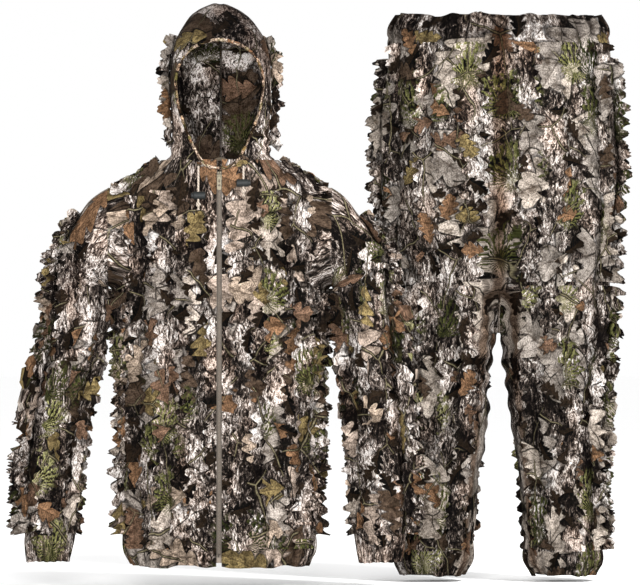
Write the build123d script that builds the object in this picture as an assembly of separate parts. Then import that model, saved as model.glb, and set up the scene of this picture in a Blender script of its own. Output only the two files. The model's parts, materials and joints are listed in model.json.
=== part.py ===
"""Hooded leaf-edged camouflage jacket and trousers, shown as if worn, side by side.

Frame: millimetres, +Z up, the front of both garments faces -Y, the wearer's right is -X.
The origin is the middle of the jacket's neck seam.
"""

import os
from math import cos, pi, radians, sin, tan

from build123d import *

# ---------------------------------------------------------------- driving sizes
CLOTH = 2.0  # wall that stands for one layer of cloth with its seams
GAP = 1.0  # half the clearance kept between cloth that moves apart
SECTION_POINTS = 20  # flat facets round one cross-section

# jacket body
ZIP_TOP_Y, ZIP_SLOPE = -82.0, 0.0529  # the front edge runs straight, y = top + slope * z
HEM_Z, COLLAR_SPLIT_Z = -722.0, 0.0
SHOULDER_X, SHOULDER_Y, SHOULDER_Z, SHOULDER_R = 205.0, 8.0, -123.0, 90.0
SIDE_SEAM_Y = 13.7  # front and back panels meet here
ARMHOLE_FACETS = 24
# height, half width, back
TORSO = [
    (-722, 160, 100),
    (-690, 174, 110),
    (-600, 181, 118),
    (-400, 183, 122),
    (-214, 192, 125),
    (-123, 199, 120),
    (-60, 196, 108),
    (-33, 188, 100),
    (-15, 165, 92),
    (0, 134, 86),
    (22, 106, 82),
]

# hood: height, half width, front, back
HOOD = [
    (-12, 96, -82, 84),
    (20, 94, -82, 88),
    (60, 92, -88, 98),
    (120, 93, -100, 116),
    (180, 94, -108, 124),
    (230, 86, -104, 118),
    (270, 66, -80, 96),
    (295, 34, -40, 56),
    (303, 10, -8, 24),
]
FACE_Z, FACE_HALF_W, FACE_HALF_H = 118.0, 74.0, 112.0
NECK_AXIS_Y, NECK_AXIS_Z, NECK_R = 2.0, -47.0, 120.0
CASING_W = 9.0  # the tape round the face, with the drawcord between its two layers
CASING_BACK_Y, CASING_THICK = -10.0, 5.0

# sleeves: height, half width, half depth; the run outwards is in SLEEVE_OUT
SLEEVE = [
    (-123, 31, 58),
    (-170, 42, 70),
    (-214, 46, 73),
    (-300, 49, 68),
    (-385, 50, 63),
    (-500, 51, 61),
    (-600, 50, 59),
    (-670, 48, 55),
    (-700, 44, 48),
    (-713, 36, 36),
]
SLEEVE_OUT = {
    "right": [240, 252, 257, 272, 286, 301, 310, 314, 315, 315],
    "left": [240, 251, 256, 267, 276, 284, 290, 293, 294, 294],
}
# the sleeve head is turned about the shoulder axis: distance outwards, radius
SLEEVE_HEAD = [(2, 90), (20, 83), (35, 72), (50, 57), (68, 33), (80, 0)]
ARM_OVERRUN = 5.0  # how far a hollow runs past the open end it makes
ELBOW_Z, ELBOW_R = -385.0, 84.0
WRIST_R, WRIST_BAND, WRIST_Z = 32.0, 18.0, -712.0

# trousers
TROUSER_X, TROUSER_Y = 516.0, 250.0
# height, half width, half depth
SEAT = [
    (289, 195, 104),
    (262, 201, 110),
    (150, 213, 122),
    (32, 219, 125),
    (-60, 217, 120),
]
# height, centre's distance from the middle, half width, half depth
LEG = [
    (60, 107, 92, 90),
    (-114, 106, 102, 106),
    (-230, 104, 100, 101),
    (-315, 103, 97, 94),
    (-425, 106, 87, 86),
    (-571, 111, 77, 79),
    (-681, 117, 69, 73),
    (-725, 121, 67, 70),
    (-752, 123, 56, 56),
]
HIP_Z, HIP_R = 30.0, 150.0
KNEE_Z, KNEE_R = -370.0, 116.0
ANKLE_R, ANKLE_BAND, ANKLE_Z = 50.0, 22.0, -751.0

# zip
ZIP_TILT = -3.03  # degrees about X that lays the zip on the front edge
ZIP_LENGTH, ZIP_GAP = 716.0, 5.0
TAPE_IN, TAPE_OUT, TAPE_FRONT, TAPE_THICK = 1.0, 14.0, 4.0, 0.8
CHAIN_IN, CHAIN_OUT, CHAIN_FRONT, CHAIN_BACK = 0.7, 3.0, 0.6, 3.9
SLIDER_Z, SLIDER_H, SLIDER_W = -16.0, 11.0, 8.6
PIN_Y, PIN_Z, PIN_R, PIN_CLEAR = -4.4, -13.0, 0.75, 0.06
PULL_L, PULL_W, PULL_T = 26.0, 7.4, 1.5

# hood drawcord ends and their spring locks: x, exit, lock height, end height
CORD_R, EYELET_R, EYELET_LONG = 1.8, 4.2, 2.0
CORDS = {
    "right": ((-38.0, -79.5, 5.0), (-38.0, -89.0, -5.0), (-38.0, -98.0, -62.0), 0.77),
    "left": ((44.0, -78.5, 5.0), (44.0, -88.0, -5.0), (44.0, -93.5, -37.0), 0.66),
}
LOCK_R, LOCK_OPEN_END, LOCK_CLOSED_END, LOCK_WALL = 7.0, 9.0, -13.0, 1.5
LOCK_BORE_R, PLUNGER_R, PLUNGER_OUT, PLUNGER_IN = 5.2, 5.1, 4.0, -4.0
PRESS_ROOM = 3.6  # the slot leaves room for the plunger's travel
SPRING_R, SPRING_WIRE_R, SPRING_PITCH, SPRING_LONG = 3.4, 0.3, 1.2, 3.6
KNOT_R = 3.4

LOOP_R, LOOP_W, LOOP_THICK, LOOP_Y, LOOP_Z = 22.0, 6.0, 1.4, 76.0, 2.0

STRIP_W, STRIP_LOW, STRIP_HIGH = 20.0, 0.5, 2.6  # leaf-cut strips sewn on the cloth
STRIP_TOP_Z = -90.0  # the front strips start under the cord locks
ELASTIC_OUT, ELASTIC_IN = 0.4, 2.0  # how far inside the cloth an elastic band starts and ends

SIDES = {"right": -1, "left": 1}
BIG = 2000.0


# ---------------------------------------------------------------- small helpers
def ring(cx, cy, z, half_x, half_y):
    """The corners of one oval cross-section at height z."""
    turn = 2 * pi / SECTION_POINTS
    angles = [i * turn for i in range(SECTION_POINTS)]
    return [Vector(cx + half_x * cos(a), cy + half_y * sin(a), z) for a in angles]


def facet(*corners):
    return Face(Wire.make_polygon(corners))


def tube(sections):
    """The flat-faceted solid through a list of cross-sections."""
    rings = [ring(*s) for s in sections]
    faces = [facet(*rings[0]), facet(*rings[-1])]
    for one, two in zip(rings, rings[1:]):
        for i in range(SECTION_POINTS):
            j = (i + 1) % SECTION_POINTS
            faces += [facet(one[i], one[j], two[j]), facet(one[i], two[j], two[i])]
    solid = Solid(Shell(faces))
    return solid if solid.volume > 0 else Solid(solid.wrapped.Reversed())


def slab(x0, x1, y0, y1, z0, z1):
    """A box between two corners."""
    size = (x1 - x0, y1 - y0, z1 - z0)
    return Pos((x0 + x1) / 2, (y0 + y1) / 2, (z0 + z1) / 2) * Box(*size)


def roller(radius, y, z, x0=-BIG, x1=BIG):
    """A cylinder along X, whose axis is a hinge or an armhole's middle."""
    return Pos((x0 + x1) / 2, y, z) * Rot(0, 90, 0) * Cylinder(radius, x1 - x0)


def save(node, *shapes):
    """Writes one node from all the solids of the shapes."""
    solids = [s for shape in shapes for s in shape.solids() if s.volume > 1.0]
    export_step(Compound(children=solids) if len(solids) > 1 else solids[0], f"parts/{node}.step")


# ---------------------------------------------------------------- whole forms
def ends(rows, grow):
    """Heights of the cross-sections; an inner form runs on past both open ends."""
    heights = [r[0] for r in rows]
    reach = 4.0 if grow < 0 else 0.0
    low, high = min(heights), max(heights)
    return [h - reach if h == low else h + reach if h == high else h for h in heights]


def jacket_form(grow):
    """The body, shoulders and hood of the jacket, grown outwards by that much."""
    rows = []
    for z, (row_z, half, back) in zip(ends(TORSO, grow), TORSO):
        front = ZIP_TOP_Y + ZIP_SLOPE * row_z
        rows.append((0, (front + back) / 2, z, half + grow, (back - front) / 2 + grow))
    body = tube(rows)
    reach = SHOULDER_X + (ARM_OVERRUN if grow < 0 else 0)
    arm = extrude(RegularPolygon(SHOULDER_R + grow, ARMHOLE_FACETS), reach, both=True)
    across = Pos(0, SHOULDER_Y, SHOULDER_Z) * Rot(0, 90, 0) * arm
    hood_rows = []
    for row_z, half, front, back in HOOD:
        z = row_z + (grow if row_z == HOOD[-1][0] else 0)
        hood_rows.append(
            (0, (front + back) / 2, z, half + grow, (back - front) / 2 + grow)
        )
    return body + across + tube(hood_rows)


def sleeve_form(side, grow):
    """One sleeve with its round head, grown outwards by that much."""
    out, s = SLEEVE_OUT[side], SIDES[side]
    rows = [
        (s * x, SHOULDER_Y, z, half + grow, depth + grow)
        for x, z, (_, half, depth) in zip(out, ends(SLEEVE, grow), SLEEVE)
    ]
    rows[0] = (*rows[0][:2], SLEEVE[0][0], *rows[0][3:])
    start = SLEEVE_HEAD[0][0] - (4 if grow < 0 else 0)
    crown = [(x, max(r + grow, 0)) for x, r in SLEEVE_HEAD]
    crown[0] = (start, crown[0][1])
    crown[-1] = (crown[-1][0] + grow, 0)
    profile = make_face(Polyline(*crown, (start, 0), crown[0]))
    head = revolve(profile, Axis.X)
    if s < 0:
        head = mirror(head, Plane.YZ)
    return Pos(s * SHOULDER_X, SHOULDER_Y, SHOULDER_Z) * head + tube(rows)


def seat_form(grow):
    """The trousers above the legs."""
    rows = []
    for i, (z, half, depth) in enumerate(SEAT):
        top = z + 4 if i == 0 and grow < 0 else z
        low = top - grow if i == len(SEAT) - 1 else top  # the crotch's own layer
        rows.append((TROUSER_X, TROUSER_Y, low, half + grow, depth + grow))
    return tube(rows)


def leg_form(side, grow):
    """One trouser leg, from inside the seat to the ankle."""
    s = SIDES[side]
    rows = [
        (TROUSER_X + s * off, TROUSER_Y, z, half + grow, depth + grow)
        for z, (_, off, half, depth) in zip(ends(LEG, grow), LEG)
    ]
    rows[0] = (*rows[0][:2], LEG[0][0], *rows[0][3:])
    return tube(rows)


def below(z):
    return slab(-BIG, BIG, -BIG, BIG, -BIG, z)


def above(z):
    return slab(-BIG, BIG, -BIG, BIG, z, BIG)


def strips(outer, inner, places, region, axis="x"):
    """Flat strips that follow a form: where each slab of STRIP_W crosses the layer."""
    layer = (outer - inner) & region
    found = []
    for at in places:
        low, high = at - STRIP_W / 2, at + STRIP_W / 2
        if axis == "x":
            cut = slab(low, high, -BIG, BIG, -BIG, BIG)
        else:
            cut = slab(-BIG, BIG, low, high, -BIG, BIG)
        found.append(layer & cut)
    return found


# ---------------------------------------------------------------- jacket cloth
def jacket():
    outer, inner = jacket_form(0), jacket_form(-CLOTH)
    face = (
        Pos(0, -BIG / 2 - 10, FACE_Z) * Rot(90, 0, 0)
        * extrude(Ellipse(FACE_HALF_W, FACE_HALF_H), BIG / 2, both=True)
    )
    face = face & slab(-BIG, BIG, -BIG, -12, -BIG, BIG)
    shell = outer - inner - face
    hinge_in = roller(NECK_R - GAP, NECK_AXIS_Y, NECK_AXIS_Z)
    hinge_out = roller(NECK_R + GAP, NECK_AXIS_Y, NECK_AXIS_Z)
    hood = (shell & above(NECK_AXIS_Z + 60)) - hinge_out
    rest = (shell & hinge_in) + (shell & below(COLLAR_SPLIT_Z))
    collar = rest & above(COLLAR_SPLIT_Z)
    for start, corner, *_ in CORDS.values():
        run = Vector(*corner) - Vector(*start)
        collar -= Plane(origin=start, z_dir=run) * Cylinder(EYELET_R + 0.3, 30)
    body = rest & below(COLLAR_SPLIT_Z)
    zip_way = slab(-ZIP_GAP, ZIP_GAP, -BIG, 0, -BIG, BIG)
    front = (body & slab(-BIG, BIG, -BIG, SIDE_SEAM_Y, -BIG, BIG)) - zip_way
    save("front_panel_right", front & slab(-BIG, 0, -BIG, BIG, -BIG, BIG))
    save("front_panel_left", front & slab(0, BIG, -BIG, BIG, -BIG, BIG))
    save("back_panel", body & slab(-BIG, BIG, SIDE_SEAM_Y, BIG, -BIG, BIG))
    save("collar", collar)
    save("hood_panel_right", hood & slab(-BIG, 0, -BIG, BIG, -BIG, BIG))
    save("hood_panel_left", hood & slab(0, BIG, -BIG, BIG, -BIG, BIG))

    high, low = jacket_form(STRIP_HIGH), jacket_form(STRIP_LOW)
    trunk = slab(-BIG, BIG, -BIG, SHOULDER_Y - 25, HEM_Z + 12, STRIP_TOP_Z)
    save("leaf_strips_front_right", *strips(high, low, (-38, -80, -122, -160), trunk))
    save("leaf_strips_front_left", *strips(high, low, (38, 80, 122, 160), trunk))
    back = slab(-BIG, BIG, SHOULDER_Y + 25, BIG, HEM_Z + 12, -45)
    save("leaf_strips_back", *strips(high, low, (-150, -100, -50, 0, 50, 100, 150), back))

    facing = Pos(0, CASING_BACK_Y, FACE_Z) * Rot(90, 0, 0)
    rim = [
        facing * extrude(Ellipse(FACE_HALF_W + w, FACE_HALF_H + w), BIG / 2)
        for w in (0.5, CASING_W / 3, 2 * CASING_W / 3, CASING_W)
    ]
    lift = above(NECK_AXIS_Z + 95)
    layer = ((jacket_form(CASING_THICK) - jacket_form(0.4)) & lift) - hinge_out
    casing = layer & (rim[3] - rim[0])
    core = ((jacket_form(2 * CORD_R) - jacket_form(1.6)) & lift) - hinge_out
    core = core & (rim[2] - rim[1])
    save("hood_edge_casing", casing - core)
    save("hood_drawcord", core)
    crown = above(NECK_AXIS_Z + 130) - rim[3]
    hood_layer = crown - roller(NECK_R + 3 * GAP, NECK_AXIS_Y, NECK_AXIS_Z)
    save("leaf_strips_hood", *strips(high, low, (-62, -24, 24, 62), hood_layer & below(288)))

    band = jacket_form(-CLOTH - ELASTIC_OUT) - jacket_form(-CLOTH - ELASTIC_IN)
    band = band & slab(-BIG, BIG, -BIG, BIG, HEM_Z + 2, HEM_Z + 26)
    past_tape = TAPE_OUT + 2
    save("hem_elastic", band - slab(-past_tape, past_tape, -BIG, 0, -BIG, BIG))


# ---------------------------------------------------------------- sleeves
def sleeves():
    for side, s in SIDES.items():
        shell = sleeve_form(side, 0) - sleeve_form(side, -CLOTH)
        hinge_in = roller(ELBOW_R - GAP, SHOULDER_Y, ELBOW_Z)
        hinge_out = roller(ELBOW_R + GAP, SHOULDER_Y, ELBOW_Z)
        upper = (shell & above(ELBOW_Z)) + (shell & hinge_in)
        lower = (shell & below(ELBOW_Z)) - hinge_out
        save(f"upper_sleeve_{side}", upper)
        save(f"forearm_sleeve_{side}", lower)

        layer = (sleeve_form(side, STRIP_HIGH), sleeve_form(side, STRIP_LOW))
        places = [s * x for x in (236, 276)]
        arm = slab(-BIG, BIG, -BIG, BIG, ELBOW_Z + 10, -90)
        save(f"leaf_strips_upper_sleeve_{side}", *strips(*layer, places, arm))
        places = [s * (SLEEVE_OUT[side][5] + x) for x in (-24, 24)]
        arm = slab(-BIG, BIG, -BIG, BIG, WRIST_Z + 24, ELBOW_Z - ELBOW_R - 6)
        save(f"leaf_strips_forearm_{side}", *strips(*layer, places, arm))

        at = Pos(s * SLEEVE_OUT[side][-1], SHOULDER_Y, WRIST_Z + WRIST_BAND / 2)
        band = Cylinder(WRIST_R + 1.7, WRIST_BAND) - Cylinder(WRIST_R, 2 * WRIST_BAND)
        save(f"wrist_elastic_{side}", at * band)


# ---------------------------------------------------------------- trousers
def trousers():
    outer, inner = seat_form(0), seat_form(-CLOTH)
    legs_out = {side: leg_form(side, 0) for side in SIDES}
    legs_in = {side: leg_form(side, -CLOTH) for side in SIDES}
    hip_in = roller(HIP_R - GAP, TROUSER_Y, HIP_Z)
    hip_out = roller(HIP_R + GAP, TROUSER_Y, HIP_Z)
    whole = outer + legs_out["right"] + legs_out["left"]
    hollow = inner + legs_in["right"] + legs_in["left"]
    shell = whole - hollow
    seat = (shell & above(HIP_Z)) + (shell & hip_in & below(HIP_Z))
    save("seat_right", seat & slab(-BIG, TROUSER_X, -BIG, BIG, -BIG, BIG))
    save("seat_left", seat & slab(TROUSER_X, BIG, -BIG, BIG, -BIG, BIG))
    top = SEAT[0][0]
    band = seat_form(-CLOTH - ELASTIC_OUT) - seat_form(-CLOTH - ELASTIC_IN)
    save("waist_elastic", band & slab(-BIG, BIG, -BIG, BIG, top - 34, top - 2))
    places = [TROUSER_X + x for x in (-170, -125, -78, -34, 34, 78, 125, 170)]
    zone = slab(-BIG, BIG, -BIG, BIG, HIP_Z + 8, top - 44)
    layer = (seat_form(STRIP_HIGH), seat_form(STRIP_LOW))
    save("leaf_strips_seat", *strips(*layer, places, zone))

    for side, s in SIDES.items():
        leg = legs_out[side] - legs_in[side]
        knee_in = roller(KNEE_R - GAP, TROUSER_Y, KNEE_Z)
        knee_out = roller(KNEE_R + GAP, TROUSER_Y, KNEE_Z)
        free = (leg & below(HIP_Z)) - hip_out
        thigh = (free & above(KNEE_Z)) + (free & knee_in)
        save(f"thigh_{side}", thigh)
        save(f"shin_{side}", (free & below(KNEE_Z)) - knee_out)
        middle = TROUSER_X + s * 104
        places = [middle + x for x in (-60, -20, 20, 60)]
        layer = (leg_form(side, STRIP_HIGH), leg_form(side, STRIP_LOW))
        zone = slab(-BIG, BIG, -BIG, BIG, KNEE_Z + 8, HIP_Z - HIP_R - 6)
        save(f"leaf_strips_thigh_{side}", *strips(*layer, places, zone))
        zone = slab(-BIG, BIG, -BIG, BIG, ANKLE_Z + 30, KNEE_Z - KNEE_R - 6)
        places = [middle + s * 8 + x for x in (-42, 0, 42)]
        save(f"leaf_strips_shin_{side}", *strips(*layer, places, zone))
        at = Pos(TROUSER_X + s * LEG[-1][1], TROUSER_Y, ANKLE_Z + ANKLE_BAND / 2)
        band = Cylinder(ANKLE_R + 1.8, ANKLE_BAND) - Cylinder(ANKLE_R, 2 * ANKLE_BAND)
        save(f"ankle_elastic_{side}", at * band)


# ---------------------------------------------------------------- zip
def zip_parts():
    """Everything is drawn along Z with the cloth's outer face at y = 0, then tilted."""
    place = Pos(0, ZIP_TOP_Y, 0) * Rot(ZIP_TILT, 0, 0)
    top, bottom = -5.0, -ZIP_LENGTH
    back = TAPE_FRONT + TAPE_THICK
    stops, box_side = [], []
    for side, s in SIDES.items():
        x0, x1 = sorted((s * TAPE_IN, s * TAPE_OUT))
        save(f"zip_tape_{side}", place * slab(x0, x1, TAPE_FRONT, back, bottom, top))
        x0, x1 = sorted((s * CHAIN_IN, s * CHAIN_OUT))
        row = slab(x0, x1, CHAIN_FRONT, CHAIN_BACK, bottom + 14, top - 4)
        save(f"zip_chain_{side}", place * row)
        stops.append(place * slab(x0, x1, CHAIN_FRONT - 0.3, CHAIN_BACK, top - 3.8, top - 0.4))
    save("zip_top_stops", *stops)
    box = slab(-4.4, 4.4, CHAIN_FRONT - 1.0, CHAIN_BACK, bottom, bottom + 10)
    pin = slab(CHAIN_IN, CHAIN_OUT, CHAIN_FRONT, CHAIN_BACK, bottom + 10, bottom + 13.8)
    save("zip_retainer_box", place * (box + pin))

    half_w, half_h = SLIDER_W / 2, SLIDER_H / 2
    low, high = SLIDER_Z - half_h, SLIDER_Z + half_h
    plate = slab(-half_w, half_w, CHAIN_FRONT - 2.0, CHAIN_FRONT - 0.4, low, high)
    rear = slab(-half_w, half_w, back + 0.4, back + 1.6, low, high)
    body = slab(-0.4, 0.4, CHAIN_FRONT - 0.6, back + 0.6, high - 5, high - 1)
    for wing in (plate, rear):
        body += fillet(wing.edges().filter_by(Axis.Y), 2.4)
    for s in SIDES.values():
        x0, x1 = sorted((s * 2.1, s * 3.2))
        lug = slab(x0, x1, PIN_Y - 1.6, CHAIN_FRONT - 1.0, PIN_Z - 1.6, PIN_Z + 1.6)
        body += fillet(lug.edges().filter_by(Axis.X).group_by(Axis.Y)[0], 1.2)
    pin = roller(PIN_R, PIN_Y, PIN_Z, -2.6, 2.6)
    save("zip_slider", place * (body + pin))

    eye = roller(1.7, PIN_Y, PIN_Z, -PULL_T, PULL_T) - roller(PIN_R + PIN_CLEAR, PIN_Y, PIN_Z)
    leaf_y = PIN_Y - PULL_T / 2, PIN_Y + PULL_T / 2
    tab = slab(-PULL_W / 2, PULL_W / 2, *leaf_y, PIN_Z - PULL_L, PIN_Z - 4.0)
    tab = fillet(tab.edges().filter_by(Axis.Y), 2.2)
    neck = slab(-PULL_T, PULL_T, *leaf_y, PIN_Z - 5.0, PIN_Z - 1.2)
    hole = Pos(0, PIN_Y, PIN_Z - 17.5) * Rot(0, 45, 0) * Box(3.6, 10, 3.6)
    slot = slab(-1.3, 1.3, PIN_Y - 5, PIN_Y + 5, PIN_Z - 12.5, PIN_Z - 6.5)
    pull = (tab + neck - hole - slot) - roller(PIN_R + PIN_CLEAR, PIN_Y, PIN_Z)
    save("zip_pull", place * (pull + eye))


# ---------------------------------------------------------------- drawcord ends
def cord_ends():
    eyelets, knots = [], []
    for side, (start, corner, end, along) in CORDS.items():
        s = SIDES[side]
        first, run = Vector(*corner) - Vector(*start), Vector(*end) - Vector(*corner)
        turn = radians(first.get_angle(run))
        radius = 0.45 * first.length / tan(turn / 2)
        route = FilletPolyline(start, corner, end, radius=radius)
        profile = Plane(origin=start, z_dir=first) * Circle(CORD_R)
        cord = sweep(profile, path=route)
        save(f"drawcord_{side}", cord)
        down = run.normalized()
        ball = Pos(*(Vector(*end) + down * (KNOT_R - 0.9))) * Sphere(KNOT_R)
        above_end = Plane(origin=end, z_dir=run * -1) * extrude(Circle(6 * KNOT_R), 6 * KNOT_R)
        knots.append(ball - above_end)
        hoop = Cylinder(EYELET_R, EYELET_LONG) - Cylinder(CORD_R + 0.25, 3 * EYELET_LONG)
        eyelets.append(Plane(origin=start, z_dir=first) * hoop)

        middle = Vector(*corner) + run * along
        frame = Plane(origin=middle, x_dir=(s, 0, 0), z_dir=run * -1)
        barrel = roller(LOCK_R, 0, 0, LOCK_CLOSED_END, LOCK_OPEN_END)
        barrel = fillet(barrel.edges().filter_by(GeomType.CIRCLE), 2.0)
        floor = LOCK_CLOSED_END + LOCK_WALL
        bore = roller(LOCK_BORE_R, 0, 0, floor, 2 * LOCK_OPEN_END)
        way = Cylinder(CORD_R + 0.5, 8 * LOCK_R)
        save(f"cord_lock_housing_{side}", frame * (barrel - bore - way))
        rod = roller(PLUNGER_R, 0, 0, PLUNGER_IN, LOCK_OPEN_END + PLUNGER_OUT)
        rod = fillet(rod.edges().filter_by(GeomType.CIRCLE).group_by(Axis.X)[-1], 1.2)
        wide, tall = CORD_R + 0.5, 4 * LOCK_R
        slot = slab(-CORD_R - 0.4, CORD_R + PRESS_ROOM, -wide, wide, -tall, tall)
        save(f"cord_lock_plunger_{side}", frame * (rod - slot))
        helix = Helix(pitch=SPRING_PITCH, height=SPRING_LONG, radius=SPRING_R)
        wire = sweep(Plane(origin=helix @ 0, z_dir=helix % 0) * Circle(SPRING_WIRE_R), path=helix)
        spring = Pos(floor + SPRING_WIRE_R + 0.1, 0, 0) * Rot(0, 90, 0) * wire
        save(f"cord_lock_spring_{side}", frame * spring)
    save("drawcord_eyelets", *eyelets)
    save("drawcord_knots", *knots)


def hanger_loop():
    """The tape loop inside the back of the neck."""
    arch = Cylinder(LOOP_R, LOOP_THICK) - Cylinder(LOOP_R - LOOP_W, 2 * LOOP_THICK)
    arch = arch & slab(-BIG, BIG, -BIG, 0, -BIG, BIG)
    save("hanger_loop", Pos(0, LOOP_Y, LOOP_Z) * Rot(-90, 0, 0) * arch)


if __name__ == "__main__":
    os.makedirs("parts", exist_ok=True)
    jacket()
    sleeves()
    trousers()
    zip_parts()
    cord_ends()
    hanger_loop()
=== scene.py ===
"""Looks of a leaf-edged camouflage jacket and trousers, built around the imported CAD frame.

Metres, +Z up, the front faces -Y. Shapes follow the CAD nodes' boxes; cloth is grid meshes with
folds pushed into them, and every edge strip is real geometry.
"""

import json
import math

import bmesh
import bpy
import numpy as np
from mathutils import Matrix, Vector
from mathutils.bvhtree import BVHTree


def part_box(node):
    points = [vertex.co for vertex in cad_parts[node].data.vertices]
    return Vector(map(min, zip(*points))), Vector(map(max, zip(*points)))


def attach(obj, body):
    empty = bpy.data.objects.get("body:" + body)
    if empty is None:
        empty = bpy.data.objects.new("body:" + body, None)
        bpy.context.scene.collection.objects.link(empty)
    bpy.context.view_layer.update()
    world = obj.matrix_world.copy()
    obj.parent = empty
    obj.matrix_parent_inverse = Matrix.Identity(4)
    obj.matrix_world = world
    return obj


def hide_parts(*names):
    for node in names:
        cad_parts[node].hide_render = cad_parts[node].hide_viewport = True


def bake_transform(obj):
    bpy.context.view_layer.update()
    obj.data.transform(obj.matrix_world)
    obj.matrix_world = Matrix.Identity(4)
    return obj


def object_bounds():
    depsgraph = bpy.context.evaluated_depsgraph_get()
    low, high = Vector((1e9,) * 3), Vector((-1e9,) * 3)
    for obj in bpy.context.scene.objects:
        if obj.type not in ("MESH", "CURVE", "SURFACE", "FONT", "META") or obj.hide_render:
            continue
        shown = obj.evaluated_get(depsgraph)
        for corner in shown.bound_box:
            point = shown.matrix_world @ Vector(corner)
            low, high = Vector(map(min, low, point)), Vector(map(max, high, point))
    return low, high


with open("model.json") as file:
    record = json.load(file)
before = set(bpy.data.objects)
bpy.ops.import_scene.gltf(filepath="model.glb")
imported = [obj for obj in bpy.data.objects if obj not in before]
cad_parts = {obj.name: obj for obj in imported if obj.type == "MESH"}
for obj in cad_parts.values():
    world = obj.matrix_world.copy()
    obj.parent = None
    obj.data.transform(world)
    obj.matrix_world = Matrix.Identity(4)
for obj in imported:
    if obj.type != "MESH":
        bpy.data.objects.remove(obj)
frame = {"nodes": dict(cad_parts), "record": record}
CAD_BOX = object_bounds()
RNG = np.random.default_rng(7)
SIDE = {"right": -1, "left": 1}

# ------------------------------------------------------------------ places read from the frame
JOINT = {j["name"]: j for j in frame["record"]["behaviour"]["joints"]}
SHOULDER_X, SHOULDER_Y, SHOULDER_Z = JOINT["shoulder_left"]["pos_m"]
ELBOW_Z = JOINT["elbow_left"]["pos_m"][2]
ARM_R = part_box("upper_sleeve_left")[1][1] - SHOULDER_Y
HEM_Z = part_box("back_panel")[0][2]
SEAT_LOW, SEAT_HIGH = (np.array(v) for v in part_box("seat_left"))
TROUSER_X, TROUSER_Y = SEAT_LOW[0], (SEAT_LOW[1] + SEAT_HIGH[1]) / 2
WAIST_Z = SEAT_HIGH[2]
HIP_Z, KNEE_Z = JOINT["hip_left"]["pos_m"][2], JOINT["knee_left"]["pos_m"][2]
ANKLE_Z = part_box("shin_left")[0][2]
WRIST_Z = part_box("forearm_sleeve_left")[0][2]
FRONT_SLOPE = 0.0529  # how much the front edge leans, y per z
NECK_FRONT_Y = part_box("zip_tape_left")[1][1] - 0.0045
FLOOR_Z = float(CAD_BOX[0][2]) - 0.012

# ------------------------------------------------------------------ driving sizes, in metres
BODY_VOXEL, HOOD_VOXEL = 0.0055, 0.0045  # mesh spacing of the jacket and trousers, and of the hood
CREASE_DEPTH = 0.009  # height of a fold over which the painted shade goes from none to full
SHELL_DROP = 0.0035  # the folded skin lies this much inside the profile tables on average
PANEL_SPLIT = HIP_Z - 0.240  # where the seat cloth ends and the leg cloth starts
BAND_HEIGHT = 0.040  # of the waistband's casing
GATHER_FROM, GATHER_OVER = 0.07, 0.06  # the hem's gathers start this high and grow over this height
UNDERARM = 0.075  # half depth of a sleeve where it leaves the armhole
FAN_LENGTH = 0.14  # cloth taken up by the fan of rings round the underarm
SLEEVE_GIRTH = 0.36
BODY_RADIUS, SEAT_RADIUS, TUBE_RADIUS = 0.152, 0.172, 0.098  # turn an angle into print distance
SEAM_LIFT = 0.0013  # a strip's seam stands this far off the cloth
STRIP_STEP = 0.0023  # distance between a strip's rows of points
RUFFLE_REACH = 0.02


# ------------------------------------------------------------------ small numeric helpers
def smooth(t):
    """An even rise from 0 to 1 as t goes from 0 to 1."""
    t = np.clip(t, 0, 1)
    return t * t * (3 - 2 * t)


def curve(table, at):
    """Smooth interpolation of table rows (key, values...) at the keys in at (monotone cubic)."""
    rows = np.array(sorted(table), float)
    keys = rows[:, 0]
    at = np.clip(np.asarray(at, float), keys[0], keys[-1])
    i = np.clip(np.searchsorted(keys, at, side="right") - 1, 0, len(keys) - 2)
    step = np.diff(keys)
    out = []
    for column in rows[:, 1:].T:
        slope = np.diff(column) / step
        tangent = np.zeros(len(keys))
        inside = slope[:-1] * slope[1:] > 0
        tangent[1:-1][inside] = 2 / (1 / slope[:-1][inside] + 1 / slope[1:][inside])
        tangent[0], tangent[-1] = slope[0], slope[-1]
        h, t = step[i], (at - keys[i]) / step[i]
        out.append(
            (1 + 2 * t) * (1 - t) ** 2 * column[i] + t * (1 - t) ** 2 * h * tangent[i]
            + t * t * (3 - 2 * t) * column[i + 1] + t * t * (t - 1) * h * tangent[i + 1]
        )
    return np.array(out)


def bell(x, width):
    return np.exp(-((x / width) ** 2))


def heading(x, y):
    """Angle round the Z axis from the front, positive towards the wearer's left."""
    return np.arctan2(x, -y)


def hash3(i, j, k, seed):
    """A fixed pseudo-random value from -1 to 1 for each grid cell."""
    n = (i * 374761393 + j * 668265263 + k * 2147483647 + seed * 1442695041) & 0xFFFFFFFF
    n = ((n ^ (n >> 13)) * 1274126177) & 0xFFFFFFFF
    return ((n ^ (n >> 16)) & 0xFFFF) / 32767.5 - 1


def noise(points, scale, seed=0):
    """Smooth value noise from -1 to 1 at points (n, 3); scale is cycles per metre, one or three."""
    p = np.asarray(points, float) * np.asarray(scale, float)
    cell = np.floor(p).astype(np.int64)
    f = p - cell
    f = f * f * (3 - 2 * f)
    total = 0
    for dx in (0, 1):
        for dy in (0, 1):
            for dz in (0, 1):
                w = np.abs(1 - dx - f[:, 0]) * np.abs(1 - dy - f[:, 1]) * np.abs(1 - dz - f[:, 2])
                total = total + w * hash3(cell[:, 0] + dx, cell[:, 1] + dy, cell[:, 2] + dz, seed)
    return total


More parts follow.
